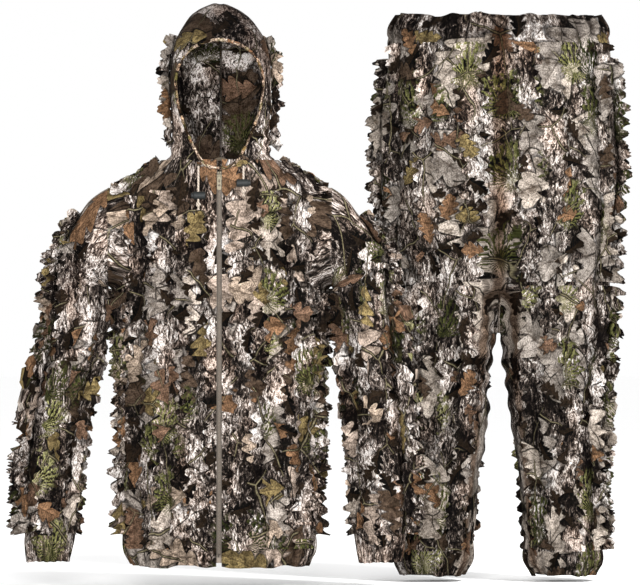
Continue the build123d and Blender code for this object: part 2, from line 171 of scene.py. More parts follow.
def folds(points, seed, tall=1.0):
    """Height of soft folds in metres: long ones along Z, broken up by shorter creases."""
    warp = np.stack([noise(points, 6, seed + k) for k in (1, 2, 3)], 1) * 0.03
    p = points + warp
    long_folds = 1 - np.abs(noise(p, (14, 14, 3.2), seed)) * 2
    short = 1 - np.abs(noise(p, (16, 16, 13), seed + 5)) * 2
    fine = 1 - np.abs(noise(p, (38, 38, 24), seed + 9)) * 2
    return tall * (0.0050 * long_folds + 0.0032 * short + 0.0015 * fine)


# ------------------------------------------------------------------ meshes
def finish_mesh(name, verts, faces, uvs=None):
    """A smooth-shaded object; uvs holds one (u, v) in metres for each vertex."""
    mesh = bpy.data.meshes.new(name)
    mesh.from_pydata([tuple(v) for v in verts], [], [tuple(f) for f in faces])
    mesh.polygons.foreach_set("use_smooth", [True] * len(mesh.polygons))
    if uvs is not None:
        set_uv(mesh, np.asarray(uvs, float))
    mesh.update()
    obj = bpy.data.objects.new(name, mesh)
    bpy.context.scene.collection.objects.link(obj)
    return obj


def set_uv(mesh, uvs):
    """Gives the mesh a UV map with one (u, v) for each vertex."""
    layer = mesh.uv_layers.new(name="UVMap")
    index = np.empty(len(mesh.loops), np.int32)
    mesh.loops.foreach_get("vertex_index", index)
    layer.data.foreach_set("uv", uvs[index].astype(np.float32).ravel())


def tube_faces(rings, columns):
    """Quads of an open tube whose points are stored ring by ring."""
    i = np.arange(rings - 1)[:, None] * columns
    j = np.arange(columns)[None, :]
    k = (j + 1) % columns
    quads = np.stack([i + j, i + k, i + columns + k, i + columns + j], -1)
    return quads.reshape(-1, 4).tolist()


def capped_faces(rings, columns):
    """The same tube closed by a face at each end."""
    last = (rings - 1) * columns
    return tube_faces(rings, columns) + [list(range(columns))[::-1], [last + k for k in range(columns)]]


def coordinates(obj):
    co = np.empty(len(obj.data.vertices) * 3)
    obj.data.vertices.foreach_get("co", co)
    return co.reshape(-1, 3)


def normals(obj):
    out = np.empty(len(obj.data.vertices) * 3)
    obj.data.vertex_normals.foreach_get("vector", out)
    return out.reshape(-1, 3)


def move_points(obj, co):
    obj.data.vertices.foreach_set("co", co.ravel())
    obj.data.update()


def oval_tube(rows, turn=96):
    """Closed tube through rows of (centre x, centre y, z, half x, half y)."""
    a = np.linspace(0, 2 * math.pi, turn, endpoint=False)
    rows = np.asarray(rows, float)
    x = rows[:, 0:1] + rows[:, 3:4] * np.cos(a)
    y = rows[:, 1:2] + rows[:, 4:5] * np.sin(a)
    z = np.repeat(rows[:, 2:3], turn, 1)
    return np.stack([x, y, z], -1).reshape(-1, 3), capped_faces(len(rows), turn)


def union(name, parts, voxel, relax=6):
    """One even quad skin round overlapping closed shapes."""
    verts, faces = [], []
    for v, f in parts:
        faces += [[i + len(verts) for i in face] for face in f]
        verts += [tuple(p) for p in v]
    obj = finish_mesh(name, verts, faces)
    modifier = obj.modifiers.new("even", "REMESH")
    modifier.mode, modifier.voxel_size = "VOXEL", voxel
    soften = obj.modifiers.new("soften", "SMOOTH")
    soften.factor, soften.iterations = 0.5, relax
    apply_modifiers(obj)
    return obj


def apply_modifiers(obj):
    graph = bpy.context.evaluated_depsgraph_get()
    graph.update()
    mesh = bpy.data.meshes.new_from_object(obj.evaluated_get(graph))
    obj.modifiers.clear()
    obj.data = mesh
    mesh.polygons.foreach_set("use_smooth", [True] * len(mesh.polygons))


def cut(obj, point, normal):
    """Removes what lies on the normal's side of the plane, leaving a clean edge."""
    bm = bmesh.new()
    bm.from_mesh(obj.data)
    bmesh.ops.bisect_plane(
        bm, geom=bm.verts[:] + bm.edges[:] + bm.faces[:], dist=1e-5,
        plane_co=Vector(point), plane_no=Vector(normal), clear_outer=True,
    )
    bm.to_mesh(obj.data)
    bm.free()
    obj.data.update()


def set_shade(obj, depth):
    """Stores the painted shade of each point, 0 to 1, set mostly by how deep in a fold it lies; the cloth
    material darkens its colour by it.
    """
    layer = obj.data.attributes.new("fold_shade", "FLOAT", "POINT")
    layer.data.foreach_set("value", np.clip(depth, 0, 1).astype(np.float32))


def ruffle(obj, level, reach, amount, seed):
    """Waves an open edge of gathered cloth that lies at height level."""
    co = coordinates(obj)
    near = smooth(1 - np.abs(co[:, 2] - level) / reach)
    co[:, 2] += near * amount * noise(co * [1, 1, 0.2], 42, seed)
    move_points(obj, co)


def drop(*objects):
    """Removes helper objects."""
    for o in objects:
        bpy.data.objects.remove(o)


def merged(objects):
    """Points and faces of several meshes as one pair of lists."""
    verts, faces = [], []
    for o in objects:
        faces += [[i + len(verts) for i in p.vertices] for p in o.data.polygons]
        verts += [tuple(v.co) for v in o.data.vertices]
    return verts, faces


def tree_of(obj):
    return BVHTree.FromPolygons(*merged([obj]))


# ------------------------------------------------------------------ profile tables, in metres
# z, half width, back
TORSO = [
    (-0.722, 0.158, 0.098), (-0.712, 0.163, 0.102), (-0.690, 0.174, 0.110), (-0.600, 0.181, 0.118),
    (-0.400, 0.184, 0.122), (-0.300, 0.192, 0.124), (-0.214, 0.198, 0.125), (-0.123, 0.199, 0.120),
    (-0.060, 0.196, 0.108), (-0.033, 0.188, 0.100), (-0.015, 0.165, 0.092), (0.000, 0.134, 0.086),
    (0.022, 0.100, 0.083),
]
# z, half width, front, back
HOOD = [
    (-0.02, 0.112, -0.083, 0.085), (0.010, 0.103, -0.083, 0.086), (0.035, 0.089, -0.084, 0.089),
    (0.070, 0.087, -0.088, 0.099), (0.120, 0.092, -0.099, 0.115), (0.180, 0.093, -0.107, 0.123),
    (0.230, 0.085, -0.104, 0.117), (0.270, 0.063, -0.082, 0.096), (0.292, 0.037, -0.048, 0.062),
    (0.302, 0.012, -0.010, 0.026),
]
# z, half width of the face opening
FACE = [(0.001, 0.0), (0.003, 0.016), (0.012, 0.030), (0.040, 0.047), (0.080, 0.064), (0.120, 0.076),
        (0.160, 0.080), (0.195, 0.071), (0.218, 0.050), (0.231, 0.020), (0.234, 0.0)]
# angle from the armhole plane in degrees, distance of the outer edge from the underarm
CROWN = [(0, 0.180), (12, 0.160), (19, 0.146), (30, 0.133), (41, 0.121), (64, 0.103), (90, 0.098)]
# z, half width, half depth
ARM = [(-0.720, 0.034, 0.034), (-0.712, 0.035, 0.036), (-0.695, 0.039, 0.042), (-0.675, 0.046, 0.053),
       (-0.650, 0.051, 0.060), (-0.600, 0.053, 0.062), (-0.500, 0.055, 0.064), (-0.385, 0.055, 0.066),
       (-0.300, 0.053, 0.070), (-0.214, 0.049, 0.075)]
ARM_OUT = {
    "right": [(-0.720, 0.315), (-0.600, 0.309), (-0.500, 0.298), (-0.385, 0.277), (-0.300, 0.262),
              (-0.214, 0.254)],
    "left": [(-0.720, 0.294), (-0.600, 0.290), (-0.500, 0.284), (-0.385, 0.276), (-0.300, 0.264),
             (-0.214, 0.254)],
}
# z, half width, half depth
SEAT = [(0.289, 0.185, 0.102), (0.280, 0.192, 0.106), (0.262, 0.202, 0.111), (0.150, 0.213, 0.122),
        (0.032, 0.219, 0.125), (-0.060, 0.217, 0.120), (-0.090, 0.205, 0.110)]
# z, centre's distance from the middle, half width, half depth
LEG = [(0.060, 0.107, 0.096, 0.094), (-0.058, 0.108, 0.101, 0.104), (-0.114, 0.107, 0.103, 0.106),
       (-0.230, 0.104, 0.101, 0.101), (-0.315, 0.103, 0.097, 0.094), (-0.425, 0.106, 0.088, 0.087),
       (-0.571, 0.111, 0.078, 0.080), (-0.681, 0.117, 0.073, 0.076), (-0.722, 0.121, 0.071, 0.073),
       (-0.745, 0.123, 0.058, 0.058), (-0.753, 0.123, 0.055, 0.055)]
# z, half width, half depth of the cloth between the tops of the legs
BRIDGE = [(-0.050, 0.070, 0.113), (-0.100, 0.062, 0.103), (-0.150, 0.046, 0.087), (-0.200, 0.026, 0.062),
          (-0.245, 0.008, 0.030)]


def front_y(z):
    return NECK_FRONT_Y + FRONT_SLOPE * z


def torso_rows(z):
    half, back = curve(TORSO, z)
    front = front_y(z)
    return np.stack([0 * z, (front + back) / 2, z, half, (back - front) / 2], 1)


def hood_rows(z):
    half, front, back = curve(HOOD, z)
    return np.stack([0 * z, (front + back) / 2, z, half, (back - front) / 2], 1)


def leg_centre(side, z):
    off, half, depth = curve(LEG, z)
    return TROUSER_X + SIDE[side] * off, half, depth


# ------------------------------------------------------------------ cloth skins
def jacket_skin():
    """The jacket's body with its shoulders, closed, folded, not yet cut into panels."""
    z = np.linspace(HEM_Z - 0.004, 0.034, 130)
    rows = torso_rows(np.clip(z, TORSO[0][0], TORSO[-1][0]))
    rows[:, 2] = z
    a = np.linspace(0, 2 * math.pi, 72, endpoint=False)
    x = np.linspace(-SHOULDER_X - 0.02, SHOULDER_X + 0.02, 60)
    ring = np.stack([0 * a, SHOULDER_Y + ARM_R * np.cos(a), SHOULDER_Z + ARM_R * np.sin(a)], 1)
    arm = (ring[None] + np.stack([x, 0 * x, 0 * x], 1)[:, None]).reshape(-1, 3)
    obj = union("jacket", [oval_tube(rows), (arm, capped_faces(len(x), len(a)))], BODY_VOXEL)
    co = coordinates(obj)
    calm = smooth((SHOULDER_X - np.abs(co[:, 0])) / 0.035) * smooth((0.02 - co[:, 2]) / 0.05)
    calm = np.where(co[:, 2] < SHOULDER_Z - ARM_R - 0.02, 1, calm)
    from_zip = smooth((np.abs(co[:, 0]) - 0.006) / 0.03)
    calm = calm * (0.25 + 0.75 * np.where(co[:, 1] < 0, from_zip, 1))
    turn = heading(co[:, 0], co[:, 1])
    gather = smooth((HEM_Z + GATHER_FROM - co[:, 2]) / GATHER_OVER)
    wave = np.abs(np.sin(turn * 21 + 2.5 * noise(co, 9, 3)))
    soft = folds(co, 11)
    push = (soft - SHELL_DROP) * calm * (1 - gather) + gather * 0.0065 * wave
    # painted shade: darker in the valleys of the hem's gathers and in the hollows of the folds
    set_shade(obj, gather * (1 - wave) * 0.9 + calm * (1 - gather) * (0.0010 - soft) / CREASE_DEPTH)
    move_points(obj, co + normals(obj) * push[:, None])
    return obj


def jacket_uv(obj):
    """The print runs round the body, and over the shoulders along the cloth."""
    co = coordinates(obj)
    turn = heading(co[:, 0] / 0.185, (co[:, 1] - 0.01) / 0.105)
    lift = np.arctan2(co[:, 2] - SHOULDER_Z, np.maximum(np.abs(co[:, 1] - SHOULDER_Y), 1e-4))
    v = np.where(co[:, 2] > SHOULDER_Z, SHOULDER_Z + ARM_R * np.maximum(lift, 0), co[:, 2])
    v = np.where(co[:, 2] > SHOULDER_Z, 0.5 * v + 0.5 * co[:, 2], v)
    set_uv(obj.data, np.stack([turn * BODY_RADIUS, v], 1))


def sleeve_rows(side):
    """Rings of one sleeve: a fan round the underarm, then level ovals down to the wrist."""
    s, rings, span = SIDE[side], [], []
    a = np.linspace(0, 2 * math.pi, 88, endpoint=False)
    near = 0.004
    pivot = np.array([SHOULDER_X - 0.0015, SHOULDER_Z - ARM_R - near])
    for angle in np.linspace(0, 90, 34):
        (reach,) = curve(CROWN, [angle])
        far = near + reach[0]
        half = (far - near) / 2
        depth = ARM_R + (UNDERARM - ARM_R) * smooth(angle / 90)
        out = np.array([math.sin(math.radians(angle)), math.cos(math.radians(angle))])
        along = (near + far) / 2 + half * np.cos(a)
        x, z = pivot[0] + along * out[0], pivot[1] + along * out[1]
        rings.append(np.stack([s * x, SHOULDER_Y + depth * np.sin(a), z], 1))
        span.append(-angle / 90 * FAN_LENGTH)
    zs = np.linspace(pivot[1] - 0.004, WRIST_Z - 0.004, 118)
    half, depth = curve(ARM, zs)
    (out,) = curve(ARM_OUT[side], zs)
    ease = smooth((pivot[1] - zs) / 0.05)
    half = CROWN[-1][1] / 2 * (1 - ease) + half * ease
    first = pivot[0] + near + CROWN[-1][1] / 2
    out = first * (1 - ease) + out * ease
    for z, h, d, o in zip(zs, half, depth, out):
        rings.append(np.stack([s * (o + h * np.cos(a)), SHOULDER_Y + d * np.sin(a), 0 * a + z], 1))
        span.append(-FAN_LENGTH - (zs[0] - z))
    return np.array(rings), np.array(span), a


def sleeve(side):
    """One sleeve's cloth with its folds, elbow creases and gathered cuff."""
    rings, span, a = sleeve_rows(side)
    rows, columns = rings.shape[:2]
    obj = finish_mesh(f"sleeve_{side}", rings.reshape(-1, 3), tube_faces(rows, columns))
    co, n = coordinates(obj), normals(obj)
    middle_line = rings.mean(1).repeat(columns, 0)
    flip = np.sign(np.median(np.einsum("ij,ij->i", n, co - middle_line)))
    if flip < 0:
        obj.data.flip_normals()
        n = normals(obj)
    run = np.repeat(span, columns)
    calm = smooth(-run / 0.05)
    gather = smooth((WRIST_Z + 0.055 - co[:, 2]) / 0.045)
    soft = folds(co, 31 + SIDE[side], tall=0.9)
    push = (soft - 0.003) * calm * (1 - gather)
    bend = bell(co[:, 2] - ELBOW_Z, 0.09)
    push += bend * 0.0035 * np.sin(co[:, 2] * 230 + 3 * np.tile(np.sin(a), rows) + 2 * noise(co, 11, 4))
    wave = np.abs(np.sin(np.tile(a, rows) * 8.5 + 2 * noise(co, 14, 8)))
    push += gather * 0.0058 * wave
    # painted shade: darker in the valleys of the cuff's gathers and in the hollows of the folds
    set_shade(obj, gather * (1 - wave) * 0.9 + calm * (1 - gather) * (0.0010 - soft) / CREASE_DEPTH)
    move_points(obj, co + n * push[:, None])
    uv = np.stack([np.tile(a / (2 * math.pi), rows) * SLEEVE_GIRTH + 0.7 * SIDE[side], run], 1)
    wrap_uv(obj, uv, columns, SLEEVE_GIRTH)
    return obj


def wrap_uv(obj, uv, columns, girth):
    """UVs of a closed tube: the last column's quads run on past the girth instead of back to 0."""
    layer = obj.data.uv_layers.new(name="UVMap")
    for polygon in obj.data.polygons:
        cols = [i % columns for i in polygon.vertices]
        seam = max(cols) - min(cols) > columns // 2
        for loop, vertex in zip(polygon.loop_indices, polygon.vertices):
            u, v = uv[vertex]
            shift = girth if seam and vertex % columns == 0 else 0
            layer.data[loop].uv = (u + shift, v)


def hood_skin():
    """The hood's cloth with its middle seam, folds and face opening."""
    z = np.linspace(-0.016, HOOD[-1][0], 90)
    z = np.concatenate([z, [HOOD[-1][0] + 0.0008]])
    rows = hood_rows(np.clip(z, HOOD[0][0], HOOD[-1][0]))
    rows[:, 2] = z
    obj = union("hood", [oval_tube(rows)], HOOD_VOXEL, relax=8)
    co = coordinates(obj)
    soft = folds(co, 53, tall=0.55)
    push = (soft - 0.001) * smooth((co[:, 2] - 0.01) / 0.04)
    crease = bell(co[:, 2] - 0.045, 0.035) * 0.003
    push += crease * np.sin(co[:, 2] * 260 + 4 * noise(co, 12, 6))
    groove = bell(co[:, 0], 0.004) * (co[:, 1] > -0.05)
    push -= 0.0015 * groove
    outside = smooth((co[:, 2] - 0.12) / 0.12) * smooth((0.06 - co[:, 1]) / 0.05)
    # painted shade: darker along the middle seam's groove and in the folds' hollows; the upper hood, all but
    # its back, is darkened by the same value
    set_shade(obj, 0.8 * groove + (0.0006 - soft) / 0.006 + 0.95 * outside)
    move_points(obj, co + normals(obj) * push[:, None])
    cut(obj, (0, 0, 0.004), (0, 0, -1))
    open_face(obj)
    co = coordinates(obj)
    turn = heading(co[:, 0], co[:, 1] - 0.005)
    crown = smooth((co[:, 2] - 0.18) / 0.09)
    front = crown * smooth((0.03 - co[:, 1]) / 0.05)
    over = turn * TUBE_RADIUS * (1 - front) + co[:, 0] * front
    along = co[:, 2] * 1.1 + 0.9 * crown * (np.minimum(co[:, 1], 0) + 0.09)
    set_uv(obj.data, np.stack([over + 2.3, along + 0.4], 1))
    return obj


def face_half(z):
    """Half width of the face opening at height z, 0 above and below it."""
    z = np.asarray(z, float)
    (half,) = curve(FACE, z)
    return np.where((z < FACE[0][0]) | (z > FACE[-1][0]), 0, half)


def open_face(obj):
    """Takes the face opening out of the hood and pulls its edge onto the rim line."""
    bm = bmesh.new()
    bm.from_mesh(obj.data)
    away = []
    for f in bm.faces:
        c = f.calc_center_median()
        if c.y < -0.02 and abs(c.x) < float(face_half(c.z)):
            away.append(f)
    bmesh.ops.delete(bm, geom=away, context="FACES")
    rim = rim_line(400)[:, [0, 2]]
    for v in bm.verts:
        if v.is_boundary and v.co.z > 0.006:
            k = np.argmin(((rim - [v.co.x, v.co.z]) ** 2).sum(1))
            if ((rim[k] - [v.co.x, v.co.z]) ** 2).sum() < 0.008**2:
                v.co.x, v.co.z = rim[k]
    bm.to_mesh(obj.data)
    bm.free()


def rim_line(count):
    """Points round the face opening, on the hood's surface, from the chin round and back."""
    z = np.linspace(0.0, FACE[-1][0], 300)
    x = face_half(z)
    line = np.concatenate([np.stack([x, z], 1), np.stack([-x[::-1], z[::-1]], 1)])
    step = np.concatenate([[0], np.cumsum(np.linalg.norm(np.diff(line, axis=0), axis=1))])
    at = np.linspace(0, step[-1], count)
    x, z = np.interp(at, step, line[:, 0]), np.interp(at, step, line[:, 1])
    half, front, back = curve(HOOD, z)
    y = (front + back) / 2 - (back - front) / 2 * np.sqrt(np.clip(1 - (x / half) ** 2, 0, 1))
    return np.stack([x, y, z], 1)


def trouser_tube(x, z, half, depth, turn):
    return oval_tube(np.stack([0 * z + x, 0 * z + TROUSER_Y, z, half, depth], 1), turn)


def trousers_skin():
    """Seat, legs and crotch as one cloth, gathered at the waist and ankles, not yet cut."""
    z = np.linspace(WAIST_Z + 0.006, -0.088, 90)
    parts = [trouser_tube(TROUSER_X, z, *curve(SEAT, z), 96)]
    for side in SIDE:
        z = np.linspace(0.055, ANKLE_Z - 0.005, 160)
        x, half, depth = leg_centre(side, z)
        parts.append(trouser_tube(x, z, half, depth, 72))
    z = np.linspace(-0.050, -0.245, 40)
    parts.append(trouser_tube(TROUSER_X, z, *curve(BRIDGE, z), 48))
    obj = union("trousers", parts, BODY_VOXEL, relax=8)
    co = coordinates(obj)
    soft = folds(co, 77)
    push = soft - SHELL_DROP
    top = smooth((co[:, 2] - WAIST_Z + 0.09) / 0.08)
    from_middle, from_back = co[:, 0] - TROUSER_X, co[:, 1] - TROUSER_Y
    turn = heading(from_middle, from_back)
    waves = np.abs(np.sin(turn * 21 + 2.2 * noise(co, (9, 9, 4), 3)))
    push = push * (1 - top) + top * 0.0085 * waves
    push += top * 0.0024 * noise(co, (60, 60, 34), 21)
    push -= 0.003 * bell(co[:, 2] - (WAIST_Z - BAND_HEIGHT), 0.005)
    round_leg = heading(from_middle - np.where(from_middle < 0, -1, 1) * 0.122, from_back)
    foot = smooth((ANKLE_Z + 0.08 - co[:, 2]) / 0.06)
    cuff = np.abs(np.sin(round_leg * 10.5 + 2.5 * noise(co, 9, 12)))
    push = push * (1 - foot) + foot * 0.0065 * cuff
    # painted shade: the waistband darker overall and darkest in its gathers' valleys, the ankle gathers'
    # valleys, the middle of the crotch, and the folds' hollows
    middle = bell(co[:, 2] + 0.12, 0.09) * bell(from_middle, 0.030)
    painted_shade = top * (0.52 + 0.9 * (1 - waves)) + foot * (1 - cuff) + 0.9 * middle
    set_shade(obj, painted_shade + (1 - top) * (1 - foot) * (0.0010 - soft) / CREASE_DEPTH)
    knee = bell(co[:, 2] - KNEE_Z, 0.12)
    push += knee * 0.0030 * np.sin(co[:, 2] * 150 + 5 * noise(co, 6, 15))
    crotch = bell(co[:, 2] + 0.06, 0.09) * bell(from_middle, 0.09)
    reach = np.abs(from_middle) * 0.9 + co[:, 2]
    push += crotch * 0.0050 * np.sin(reach * 170)
    move_points(obj, co + normals(obj) * push[:, None])
    return obj


def trousers_uv(obj):
    """The print runs round the seat, then round each leg, and flat across the crotch's front."""
    co = coordinates(obj)
    from_middle, from_back = co[:, 0] - TROUSER_X, co[:, 1] - TROUSER_Y
    side = np.where(from_middle < 0, -1, 1)
    off = side * curve([r[:2] for r in LEG], np.minimum(co[:, 2], 0.05))[0]
    leg = heading(from_middle - off, from_back) * TUBE_RADIUS + side * 0.087
    near = smooth((0.050 - np.abs(from_middle)) / 0.035) * smooth((co[:, 2] + 0.26) / 0.05)
    near *= from_back < 0
    leg = leg * (1 - near) + from_middle * near
    seat = heading(from_middle / 0.21, from_back / 0.118) * SEAT_RADIUS
    t = smooth((co[:, 2] + 0.11) / 0.12)
    set_uv(obj.data, np.stack([seat * t + leg * (1 - t) + 4, co[:, 2] + 0.3], 1))


# ------------------------------------------------------------------ leaf-cut strips
def lobes(length, low, high, rng):
    """Reach of a leaf-cut edge along a strip: a function of the distance run, in metres."""
    starts = [-rng.uniform(0, 0.012)]
    while starts[-1] < length:
        starts.append(starts[-1] + rng.uniform(0.018, 0.029))
    starts = np.array(starts)
    tall = rng.uniform(low, high, len(starts))
    lean = rng.uniform(0.75, 1.5, len(starts))
    pinch = rng.uniform(0.10, 0.34, len(starts))

    def reach(run):
        i = np.clip(np.searchsorted(starts, run, side="right") - 1, 0, len(starts) - 2)
        t = (run - starts[i]) / (starts[i + 1] - starts[i])
        t = np.clip(t, 0, 1) ** lean[i]
        body = np.sin(math.pi * t) ** 0.8
        notch = 1 - pinch[i] * np.abs(np.sin(3 * math.pi * t)) ** 3
        return tall[i] * body * notch, i, t

    return reach


def leaf_strip(tree, start, end, origin, direction, sideways, rng, stand=0.35, base=0.011,
               low=0.011, high=0.020, cast=0.26):
    """One sewn strip: returns its points, quads and UVs.

    origin, direction and sideways are functions of z. The strip's seam lies where the ray from
    origin along direction, up to cast long, meets the cloth. Its two edges are cut into lobes
    low to high deep beyond base, and lift by the slope stand.
    """
    length = abs(end - start)
    count = max(8, int(length / STRIP_STEP))
    z = np.linspace(start, end, count)
    z = z + 0.0015 * np.sin(np.linspace(0, length * 60, count))
    right, left = lobes(length, low, high, rng), lobes(length, low, high, rng)
    run = np.linspace(0, length, count)
    reach_r, lobe_r, t_r = right(run)
    reach_l, lobe_l, t_l = left(run)
    lift_r = rng.uniform(0.5, 1.6, 400)[lobe_r] * stand
    lift_l = rng.uniform(0.5, 1.6, 400)[lobe_l] * stand
    curl_r = rng.uniform(-0.3, 1.0, 400)[lobe_r]
    curl_l = rng.uniform(-0.3, 1.0, 400)[lobe_l]
    sway = 0.004 * np.sin(run * rng.uniform(9, 16) + rng.uniform(0, 6))
    probe = np.array([-0.030, -0.018, -0.008, 0.0, 0.008, 0.018, 0.030])
    steps = np.array([-1, -0.82, -0.6, -0.35, 0, 0.35, 0.6, 0.82, 1])
    rows, kept = [], []
    for k in range(count):
        o, d, s = origin(z[k]), direction(z[k]), sideways(z[k])
        hits, ups = [], []
        for p in probe + sway[k]:
            got = tree.ray_cast(Vector(o + s * p), Vector(d), cast)
            if got[0] is None:
                break
            hits.append(np.array(got[0]))
            n = np.array(got[1])
            ups.append(n if n @ d > 0 else -n)
        if len(hits) < len(probe):
            rows.append(None)
            continue
        hits, ups = np.array(hits), np.array(ups)
        ups = ups * 0.5 + ups.mean(0) * 0.5
        line = []
        for t in steps:
            far = (reach_r[k] if t > 0 else reach_l[k]) + base
            lift, curl = (lift_r[k], curl_r[k]) if t > 0 else (lift_l[k], curl_l[k])
            tt = (t_r[k] if t > 0 else t_l[k]) - 0.5
            size = abs(t) * far
            slope = lift * abs(t) + 0.25 * curl * t * t
            flat = size / math.sqrt(1 + slope * slope)
            rise = SEAM_LIFT + size * slope / math.sqrt(1 + slope * slope)
            rise += tt * 0.006 * t * t * curl
            at = math.copysign(flat, t) if t else 0
            point = np.array([np.interp(at, probe, hits[:, c]) for c in range(3)])
            up = np.array([np.interp(at, probe, ups[:, c]) for c in range(3)])
            up /= np.linalg.norm(up)
            line.append(point + up * rise + np.array([0, 0, -0.10]) * rise * abs(t))
        rows.append(line)
        kept.append(k)
    verts, uvs, faces, index = [], [], [], {}
    shift = rng.uniform(0, 9, 2)
    for k in kept:
        index[k] = len(verts)
        for t, p in zip(steps, rows[k]):
            verts.append(p)
            far = (reach_r[k] if t > 0 else reach_l[k]) + base
            uvs.append((shift[0] + t * far, shift[1] + z[k]))
    n = len(steps)
    for k in kept:
        if k + 1 in index and np.linalg.norm(rows[k + 1][n // 2] - rows[k][n // 2]) < 0.02:
            a, b = index[k], index[k + 1]
            faces += [[a + j, a + j + 1, b + j + 1, b + j] for j in range(n - 1)]
    return verts, faces, uvs


def join_strips(name, strips):
    """One object from several strips."""
    verts, faces, uvs = [], [], []
    for v, f, t in strips:
        faces += [[i + len(verts) for i in face] for face in f]
        verts += v
        uvs += t
    return finish_mesh(name, verts, faces, uvs)


def fixed(*value):
    """A function that gives the same vector all along a strip."""
    vector = np.array(value, float)
    return lambda z: vector


def around(centre, angle):
    """origin, direction and sideways for a strip at an angle from the front, round a centre line."""
    d = np.array([math.sin(angle), -math.cos(angle), 0])
    s = np.array([math.cos(angle), math.sin(angle), 0])
    return centre, (lambda z: d), (lambda z: s)


# ------------------------------------------------------------------ shader graphs
class Graph:
    """A short way to write a node graph: each call adds one node and gives its first output."""

    def __init__(self, tree):
        self.tree = tree

    def node(self, kind, inputs=(), **settings):
        made = self.tree.nodes.new(kind)
        for key, value in settings.items():
            setattr(made, key, value)
        pairs = inputs.items() if isinstance(inputs, dict) else enumerate(inputs)
        for key, value in pairs:
            if value is None:
                continue
            if isinstance(value, bpy.types.NodeSocket):
                self.tree.links.new(value, made.inputs[key])
            else:
                made.inputs[key].default_value = value
        return made

    def math(self, operation, *values):
        return self.node("ShaderNodeMath", values, operation=operation).outputs[0]

    def times(self, *values):
        return self.math("MULTIPLY", *values)

    def plus(self, *values):
        return self.math("ADD", *values)

    def minus(self, *values):
        return self.math("SUBTRACT", *values)

    def size(self, value):
        return self.math("ABSOLUTE", value)

    def shaded(self, colour, by):
        """The colour multiplied by another one."""
        return self.mix(1.0, colour, by, "MULTIPLY")

    def object_place(self):
        return self.node("ShaderNodeTexCoord").outputs["Object"]

    def vector(self, operation, *values):
        made = self.node("ShaderNodeVectorMath", values, operation=operation)
        return made.outputs["Value" if operation in ("LENGTH", "DISTANCE") else "Vector"]

    def scaled(self, vector, x, y, z=1.0, shift=(0, 0, 0)):
        out = self.vector("MULTIPLY", vector, (x, y, z))
        return self.vector("ADD", out, shift) if any(shift) else out

    def noise(self, vector, scale, detail=2.0, rough=0.5, distort=0.0):
        made = self.node("ShaderNodeTexNoise", {
            "Vector": vector, "Scale": scale, "Detail": detail, "Roughness": rough, "Distortion": distort,
        }, noise_dimensions="3D")
        return made.outputs["Fac"]

    def ramp(self, value, stops, mode="LINEAR"):
        made = self.node("ShaderNodeValToRGB", {"Fac": value})
        made.color_ramp.interpolation = mode
        points = made.color_ramp.elements
        while len(points) < len(stops):
            points.new(0.5)
        for point, (place, colour) in zip(points, stops):
            point.position = place
            point.color = (*colour, 1) if len(colour) == 3 else colour
        return made.outputs["Color"]

    def step(self, value, low, high):
        return self.node("ShaderNodeMapRange", {
            "Value": value, "From Min": low, "From Max": high, "To Min": 0.0, "To Max": 1.0,
        }, interpolation_type="SMOOTHSTEP").outputs["Result"]

    def mix(self, factor, one, two, blend="MIX"):
        made = self.node("ShaderNodeMix", data_type="RGBA", blend_type=blend)
        for key, value in (("Factor", factor), ("A", one), ("B", two)):
            place = [s for s in made.inputs if s.name == key and s.enabled][0]
            if isinstance(value, bpy.types.NodeSocket):
                self.tree.links.new(value, place)
            else:
                place.default_value = (*value, 1) if isinstance(value, tuple) and len(value) == 3 else value
        return [s for s in made.outputs if s.enabled][0]

    def parts(self, vector):
        return self.node("ShaderNodeSeparateXYZ", [vector]).outputs


def new_group(name, inputs, outputs):
    """An empty node group: its graph, its input values and its output node."""
    tree = bpy.data.node_groups.new(name, "ShaderNodeTree")
    for label, kind in inputs:
        tree.interface.new_socket(label, in_out="INPUT", socket_type=f"NodeSocket{kind}")
    for label, kind in outputs:
        tree.interface.new_socket(label, in_out="OUTPUT", socket_type=f"NodeSocket{kind}")
    g = Graph(tree)
    return g, g.node("NodeGroupInput").outputs, g.node("NodeGroupOutput")


